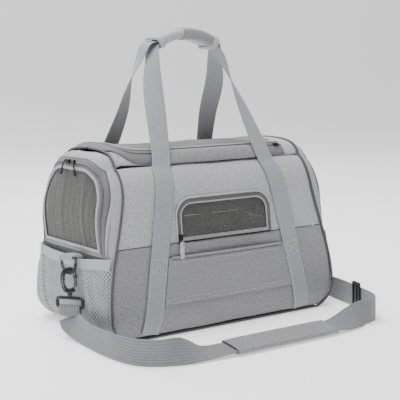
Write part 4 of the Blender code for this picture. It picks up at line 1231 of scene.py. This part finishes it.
def make_roof_flap():
    """Mesh roof flap with its zip on three sides."""
    line = flap_line(0.0)
    tape = band("roof_frame_tape", line, -ZIP + 0.2, 7.6, roof_place, M["tape"], lift=0.2, crown=1.0,
                thickness=0.9,
                flip=True)
    put(tape, "bag", "tape", ["roof_zip"])
    teeth = coil("roof_coil", flap_line(ZIP - 1.0), roof_place, M["coil"], lift=1.4, radius=1.5)
    put(teeth, "bag", "coil")
    inner = band("roof_flap_tape", flap_line(ZIP + 0.4, right=-1.4), -6.4, 0.0, roof_place, M["tape"],
                 lift=0.2, crown=0.9,
                 thickness=0.9, flip=True)
    put(inner, "roof_flap", "tape")
    edge = band("roof_flap_edge", flap_line(11.6, right=-1.4), -1.4, 0.4, roof_place, M["piping"], lift=0.8,
                crown=0.9,
                flip=True)
    put(edge, "roof_flap", "piping")
    binding = band("roof_flap_binding", flap_line(12.8, right=-1.4), -4.4, 0.0, roof_place, M["binding"],
                   lift=0.5,
                   crown=1.4, flip=True)
    put(binding, "roof_flap", "binding")
    rows = []
    for y in np.linspace(-56.0, 56.0, 60):
        row = []
        for x in np.linspace(-152.0, 144.0, 120):
            soft = 1.6 * math.sin(x / 23.0 + y / 40.0) + 1.0 * math.sin(x / 9.5 - y / 17.0)
            gather = 1.5 * smooth(x, 96.0, 144.0) * math.sin(y / 2.6 + 0.6 * math.sin(x / 12.0))
            row.append(roof_place(x, y,
                                  0.4 + 0.55 * soft * smooth(56.0 - abs(y), 0.0, 14.0) + 0.5 * gather))
        rows.append(row)
    mesh = grid_object("roof_netting", rows, M["roof"], thickness=0.5)
    half = FLAP_HALF - 15.5
    loop = [(143.6, -half)] + [tuple(p[:2]) for p in flap_line(15.5) if p[0] < 140.0] + [(143.6, half)]
    trim(mesh, loop, "xy", 272.0, 60.0, "INTERSECT")
    put(mesh, "roof_flap", "roof", ["roof_flap"])


make_window()
make_doors()
make_roof_flap()


# ---------------------------------------------------------------- pockets

def pocket_room(y, z):
    """How far an end pocket bags out, with its pleats."""
    across = y / max(end_width(z), 1.0)
    room = 5.4 * (1.0 - across ** 4) * smooth(z, 40.0, 104.0)
    room += 0.5 * math.sin(y / 15.0 + z / 30.0) * smooth(118.0 - abs(y), 0.0, 30.0)
    for top, bottom, deep, turn in ((-40.0, -86.0, 3.2, 1.0), (92.0, 80.0, 2.6, -1.0)):
        middle = bottom + (top - bottom) * (z - 12.0) / 108.0
        t = (y - middle) * turn
        room += deep * (smooth(t, -26.0, 0.0) * (1.0 - smooth(t, 0.0, 3.4))) * smooth(112.0 - abs(y), 0.0,
                12.0)
    return room


def make_end_pockets():
    """Net pockets of both ends with their deep bindings."""
    for side, label in ENDS:
        place = end_place(side)
        rows = []
        for z in np.concatenate([np.linspace(10.5, 40.0, 12), np.linspace(43.0, 113.0, 34)]):
            wide = end_width(z) - 0.4
            rows.append([place(y, z, 2.2 + pocket_room(y, z)) for y in np.linspace(-1.0, 1.0, 121) * wide])
        net = grid_object(f"{label}_pocket_netting", rows, M["pocket"], thickness=0.6, flip=side < 0)
        put(net, "bag", "pocket", [f"{label}_pocket"])
        # Dark sheet on the end cloth behind the net: painted shade, so the net's holes read dark.
        rows = [[place(y, z, 0.5) for y in np.linspace(-1.0, 1.0, 41) * (end_width(z) - 3.0)]
                for z in np.linspace(14.0, 126.0, 30)]
        back = grid_object(f"{label}_pocket_shade_sheet", rows, M["painted_shade"], thickness=0.6, flip=side < 0)
        put(back, "bag", "painted_shade")
        rows = []
        for k in range(9):
            row = []
            for y in np.linspace(-1.0, 1.0, 101) * 112.0:
                dip = 120.2 + 6.4 * smooth(-y, 30.0, 112.0) + 2.6 * smooth(y, 20.0, 112.0)
                z = dip - 17.0 + 17.0 * k / 8.0
                crown = 0.9 * (1.0 - (k / 4.0 - 1.0) ** 4)
                row.append(place(y, z, 2.9 + pocket_room(y, min(z, 112.0)) + crown))
            rows.append(row)
        tape = grid_object(f"{label}_pocket_tape", rows, M["binding"], thickness=1.8, flip=side < 0)
        put(tape, "bag", "binding", [f"{label}_pocket_binding"])


def make_front_pocket():
    """Slip pocket between the front straps with its hem and its double stitching."""
    def place(x, z, lift=0.0):
        share = x / (leg_x(z) - 0.5 * STRAP_WIDTH - 1.2)
        room = 6.2 * (1.0 - share * share) * smooth(z, 44.0, 96.0)
        return front_place(x, z, 1.1 + room + lift)

    rows = []
    for z in np.linspace(49.0, 118.8, 36):
        edge = leg_x(z) - 0.5 * STRAP_WIDTH - 1.2
        rows.append([place(x, z, 0.35 * math.sin(x / 21.0 + z / 17.0) - 0.6 * bump_at(z, 104.0, 2.0))
                     for x in np.linspace(-edge, edge, 81)])
    # The pocket cloth and its hem take the darker cloth colour: painted shade.
    cloth = grid_object("front_pocket_cloth", rows, M["lower"], thickness=1.6, offset=0.0)
    put(cloth, "bag", "lower", ["front_pocket"])
    hem_line = [Vector((x, 118.0, 0)) for x in np.linspace(-104.0, 104.0, 90)]
    hem = band("pocket_hem", hem_line, -1.9, 1.7, place, M["lower"], lift=0.9, crown=1.0)
    put(hem, "bag", "lower")
    # Dark strip just under the hem: painted shadow of the hem.
    shadow = band("pocket_hem_edge", hem_line, -3.5, -2.0, place, M["piping"], lift=0.8, crown=0.5)
    put(shadow, "bag", "piping")
    runs = [run_over([Vector((x, z, 0)) for x in np.linspace(-118.0, 118.0, 90)], place,
                     1.1) for z in (52.4, 57.0)]
    runs.append(run_over([Vector((x, 110.5, 0)) for x in np.linspace(-102.0, 102.0, 90)], place, 1.1))
    put(stitches("pocket_stitching", runs, M["thread"], 2.8, 1.5, 0.34), "bag", "thread")


make_end_pockets()
make_front_pocket()


# ---------------------------------------------------------------- carry handles

def leg_station(z, side, lift):
    """Centre and width direction of a webbing leg on the front wall at height z."""
    low = Vector((side * leg_x(z - 2.0), -half_width(z - 2.0), z - 2.0))
    high = Vector((side * leg_x(z + 2.0), -half_width(z + 2.0), z + 2.0))
    lean = (half_width(min(z + 3.0, ROOF_EDGE_Z)) - half_width(z - 3.0)) / (min(z + 3.0,
            ROOF_EDGE_Z) - z + 3.0)
    normal = Vector((0.0, -1.0, -lean)).normalized()
    return Vector((side * leg_x(z), -half_width(z),
                   z)) + normal * lift, (high - low).normalized().cross(normal)


def handle_stations(way):
    """Half of a handle's stations from its foot to the middle of the grip; way 1 is the front one."""
    rise = -2.1 if way > 0 else 2.1
    out = 3.0 * rise if rise > 0 else 0.0
    half = []
    for z in (9.0, 14.0, 20.0, 27.0, 34.0, 41.0, 55.0, 70.0, 85.0, 100.0, 112.0, 119.0, 128.0, 140.0, 152.0,
              165.0,
              178.0, 190.0, 200.0, 209.0, 218.0, 226.0, 234.0, 242.0, 249.0):
        half.append(leg_station(z, 1, 1.25 + 0.6 * smooth(z, 118.0, 140.0)))
    base, flat = half[-1][1], Vector((0.0, 1.0, 0.0))
    for x, y, z, share in ((95.0, -80.0, 268.0, 0.0), (85.0, -53.0, 324.0, 0.25),
                           (76.0 + out, -29.0, 376.0, 0.55),
                           (67.0 + out, -15.0, 412.0, 0.85), (59.0 + out, -5.0, 429.0 + out, 1.0)):
        half.append((Vector((x, y, z)), base.lerp(flat, share)))
    for x in (50.0, 38.0, 20.0):
        half.append((Vector((x, 0.0, GRIP_Z + rise - GRIP_SAG * (x / GRIP_HALF) ** 2)), flat))
    half = [(Vector((c.x, way * c.y, c.z)), Vector((s.x, way * s.y, s.z))) for c, s in half]
    other = [(Vector((-c.x, c.y, c.z)), Vector((-s.x, s.y, s.z))) for c, s in reversed(half)]
    return half + [(Vector((0.0, 0.0, GRIP_Z + rise)), Vector((0.0, float(way), 0.0)))] + other


def box_stitches(way, side):
    """Runs of the X-box that sews a leg at the waist, and of the rows at its foot."""
    corners = [(-12.0, 98.0), (12.0, 98.0), (12.0, 118.0), (-12.0, 118.0)]
    paths = [corners + corners[:1], [corners[0], corners[2]], [corners[1], corners[3]]]
    for inset in (-12.6, 12.6):
        paths.append([(inset, 14.0), (inset, 97.0)])
    runs = []
    for path in paths:
        run = []
        for (u0, z0), (u1, z1) in zip(path, path[1:]):
            for t in np.linspace(0.0, 1.0, 12):
                u, z = u0 + (u1 - u0) * t, z0 + (z1 - z0) * t
                centre, across = leg_station(z, side, 2.35)
                normal = Vector((0.0, -1.0, 0.1))
                point = centre + across * u * (1 if across.x > 0 else -1)
                run.append((Vector((point.x, way * point.y, point.z)),
                            Vector((0, way * normal.y, normal.z))))
        runs.append(run)
    return runs


def make_handles():
    """Both continuous handle straps, sewn to the walls up to the waist."""
    for way, label in ((1, "front"), (-1, "rear")):
        stations = catmull(handle_stations(way), 3.4)
        strap = ribbon(f"{label}_webbing", stations, STRAP_WIDTH, M["web"], thickness=1.9, ring=20)
        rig.slot(strap, SLOTS["web"])
        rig.replaces(strap, f"{label}_left_leg", f"{label}_right_leg", f"{label}_handle")
        y = -0.1189 * way
        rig.blend(strap, "bag", f"{label}_handle", (0.0, y, 0.112), (0.0, y, 0.140))
        runs = [run for side in (-1, 1) for run in box_stitches(way, side)]
        put(stitches(f"{label}_leg_stitching", runs, M["thread"], 2.6, 1.3, 0.36), "bag", "thread")


def wrap_point(x, y, rise):
    """Point of the grip at x, across it and above its middle."""
    slope = -2.0 * GRIP_SAG * x / GRIP_HALF ** 2
    up = Vector((-slope, 0.0, 1.0)).normalized()
    return Vector((x, y, GRIP_Z - GRIP_SAG * (x / GRIP_HALF) ** 2)) + up * rise


def wrap_row(x, grow=0.0):
    """Section of the wrap, from its lower rear lip round the front to its upper rear lip."""
    swell = 1.0 + 0.05 * math.cos(x / 40.0)
    row = []
    for t in np.linspace(0.0, 1.0, 12):
        row.append(wrap_point(x, 19.5 - 34.5 * t, -(7.3 + 0.9 * math.sin(math.pi * t)) * swell - grow))
    for angle in np.linspace(math.radians(262.0), math.radians(98.0), 17):
        row.append(wrap_point(x, (6.4 + grow) * math.cos(angle) - 15.0,
                              (7.3 * swell + grow) * math.sin(angle)))
    for t in np.linspace(1.0, 0.0, 12):
        row.append(wrap_point(x, 19.5 - 34.5 * t, (7.3 + 1.3 * math.sin(math.pi * t)) * swell + grow))
    return row


def make_wrap():
    """Padded wrap round both grips with its bindings and the overlap of its closing edge."""
    rows = [wrap_row(x) for x in np.linspace(-WRAP_HALF, WRAP_HALF, 60)]
    wrap = grid_object("grip_wrap", rows, M["cloth"], thickness=2.4, offset=-1.0, flip=True)
    put(wrap, "front_handle", "cloth", ["handle_wrap"])
    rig.padded(wrap, 0.7)
    rows = []
    count = 41
    for i in range(30):
        row = []
        for k in range(10, count):
            t = (k - 10) / (count - 11.0)
            start = -16.0 + 14.0 * t + 0.8 * math.sin(9.0 * t)
            x = start + (WRAP_HALF - 0.4 - start) * i / 29.0
            row.append(wrap_row(x, 1.2 + 0.4 * math.sin(math.pi * i / 29.0))[k])
        rows.append(row)
    # The overlap takes the darker padded heather: painted shade on this half of the wrap.
    flap = grid_object("grip_overlap", rows, M["padded"], thickness=1.4, offset=-1.0, flip=True)
    put(flap, "front_handle", "padded")
    for side, label in ENDS:
        rows = [wrap_row(side * x, grow) for x,
                grow in ((54.8, -0.8), (54.7, 0.5), (52.0, 1.3), (48.5, 1.3), (47.4, 0.3))]
        binding = grid_object(f"grip_binding_{label}", rows, M["binding"], thickness=1.2, offset=-1.0,
                              flip=side > 0)
        put(binding, "front_handle", "binding")


make_handles()
make_wrap()


# ---------------------------------------------------------------- clips

def clip_place(side, turn, u, n, z):
    """Point of a clip: u across, n outward, turned about the upright through the clip."""
    out = n * math.cos(turn) - u * math.sin(turn)
    return Vector((side * (CLIP_X + out), CLIP_Y - n * math.sin(turn) - u * math.cos(turn), z))


def make_clips():
    """Webbing tabs and folded strap ends; the plastic parts keep their CAD shape."""
    for side, label in ENDS:
        surface = end_x(CLIP_Y, 106.0) + 2.2
        turned = clip_place(side, RING_TURN, 1.0, 0.0, 0.0) - clip_place(side, RING_TURN, 0.0, 0.0, 0.0)
        flat = Vector((0.0, -1.0, 0.0))
        z, over = RING_BAR_Z, 2.0 + 0.9 + 0.9
        tab = [((side * (surface + 4.6), CLIP_Y, 104.0), flat),
               ((side * (surface + 4.6), CLIP_Y, 112.0), flat),
               ((side * (surface + 4.9), CLIP_Y, 120.0), flat.lerp(turned, 0.2)),
               ((side * (surface + 7.4), CLIP_Y, 125.4), flat.lerp(turned, 0.5)),
               ((side * (CLIP_X - 2.0), CLIP_Y, z + over), turned),
               ((side * (CLIP_X + 2.0), CLIP_Y, z + over - 0.7), turned),
               ((side * (CLIP_X + over - 0.4), CLIP_Y, z + 0.6), turned),
               ((side * (CLIP_X + over - 0.6), CLIP_Y, z - 4.0), turned)]
        item = ribbon(f"{label}_tab_webbing", catmull(tab, 1.6), 23.5, M["web"], thickness=1.9, ring=18)
        put(item, "bag", "web", [f"{label}_tab"])
        outer = 2.3 + 0.4 + 0.9
        out = Vector((side * math.cos(LOOP_TURN), -math.sin(LOOP_TURN), 0.0))
        across = out.cross(Vector((0.0, 0.0, 1.0)))
        middle = clip_place(side, LOOP_TURN, 0.0, 0.0, LOOP_BAR_Z)
        fold = [(middle + out * 1.15 + Vector((0, 0, 33.2 - LOOP_BAR_Z)), across)]
        for angle in np.linspace(math.radians(-20.0), math.radians(200.0), 14):
            fold.append((middle + out * (outer * math.cos(angle)) + Vector((0, 0, outer * math.sin(angle))),
                         across))
        fold.append((middle - out * 1.15 + Vector((0, 0, 33.2 - LOOP_BAR_Z)), across))
        end = ribbon(f"{label}_end_fold", catmull(fold, 1.3), 35.0, M["strap"], thickness=1.6, ring=18)
        put(end, f"{label}_strap_loop", "strap", [f"{label}_strap_end"])


make_clips()


# ---------------------------------------------------------------- inside

def make_mat():
    """Soft quilted fleece mat on the floor of the cabin."""
    rows = []
    for face in (-1, 1):
        for y in (np.linspace(-106.0, 106.0, 45) if face < 0 else np.linspace(106.0, -106.0, 45)):
            row = []
            for x in np.linspace(-174.0, 174.0, 71):
                edge = min(1.0 - abs(x / 174.0) ** 8, 1.0 - abs(y / 106.0) ** 6)
                puff = max(edge, 0.0) ** 0.45 * (0.9 + 0.1 * math.sin(x / 29.0) * math.sin(y / 24.0))
                row.append(Vector((x * (1.0 - 0.012 * (abs(y) / 106.0) ** 6), y, 16.8 + face * 9.9 * puff)))
            rows.append(row)
    mat = grid_object("mat_cushion", rows + [rows[0]], M["fleece"])
    put(mat, "fleece_mat", "fleece", ["fleece_mat"])
    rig.padded(mat, 0.6)


make_mat()


# ---------------------------------------------------------------- CAD parts that stay

KEPT = {"board": ["base_board"], "metal": ["window_slider", "roof_slider"], "rubber": ["window_pull"],
        "black": ["tri_glide"]}
for end in ("left", "right"):
    KEPT["black"] += [f"{end}_{part}" for part in ("ring", "hook", "gate", "swivel", "strap_loop")]
    KEPT["metal"] += [f"{end}_door_slider_{way}" for way in ("front", "rear")]
for kind, names in KEPT.items():
    for name in names:
        item = bpy.data.objects[name]
        item.data.materials.clear()
        item.data.materials.append(M[kind])
        if name.endswith(("_hook", "_ring", "_strap_loop", "_gate", "_swivel")):
            fuller = item.modifiers.new("fuller", "DISPLACE")
            fuller.mid_level = 0.0
            fuller.strength = (1.0 if name.endswith(("_hook", "_gate")) else 0.6) * MM


# ---------------------------------------------------------------- stage

def make_stage():
    """Pale floor that curves up behind, and soft studio lights."""
    rows = []
    for i in range(40):
        t = i / 39.0
        y = -3.0 + 6.0 * min(t / 0.6, 1.0)
        z = 0.0
        if t > 0.6:
            angle = (t - 0.6) / 0.4 * math.pi / 2
            y, z = 3.0 + 1.6 * math.sin(angle), 1.6 * (1.0 - math.cos(angle))
        rows.append([Vector((x * 1000.0, y * 1000.0, z * 1000.0)) for x in np.linspace(-6.0, 6.0, 5)])
    rows.append([Vector((x * 1000.0, 4600.0, 5000.0)) for x in np.linspace(-6.0, 6.0, 5)])
    paper, _, shader = start_material("studio_paper", 0.95)
    shader.inputs["Base Color"].default_value = (0.96, 0.96, 0.96, 1.0)
    shader.inputs["Emission Color"].default_value = (1.0, 1.0, 1.0, 1.0)
    shader.inputs["Emission Strength"].default_value = 0.6
    floor = grid_object("studio_floor", rows, paper, flip=False)
    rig.stage(floor)

    world = bpy.data.worlds.new("studio")
    bpy.context.scene.world = world
    world.use_nodes = True
    world.node_tree.nodes["Background"].inputs["Color"].default_value = (1.0, 1.0, 1.0, 1.0)
    world.node_tree.nodes["Background"].inputs["Strength"].default_value = 0.3
    for name, place, size, power in (("key", (-1.6, -1.1, 2.2), 1.2, 18.0),
                                     ("top", (-0.3, 0.1, 2.3), 1.6, 75.0),
                                     ("back", (0.3, 2.0, 2.2), 1.6, 45.0)):
        data = bpy.data.lights.new(name, "AREA")
        data.size = size
        data.energy = power
        light = bpy.data.objects.new(name, data)
        bpy.context.scene.collection.objects.link(light)
        light.location = place
        light.rotation_mode = "QUATERNION"
        light.rotation_quaternion = (Vector((0.0, 0.0, 0.15)) - Vector(place)).to_track_quat("-Z", "Y")


make_stage()

with open("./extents.json", "w") as file:
    low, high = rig.bounds()
    json.dump({"cad": [list(corner) for corner in CAD_BOX], "visual": [list(low), list(high)]}, file)
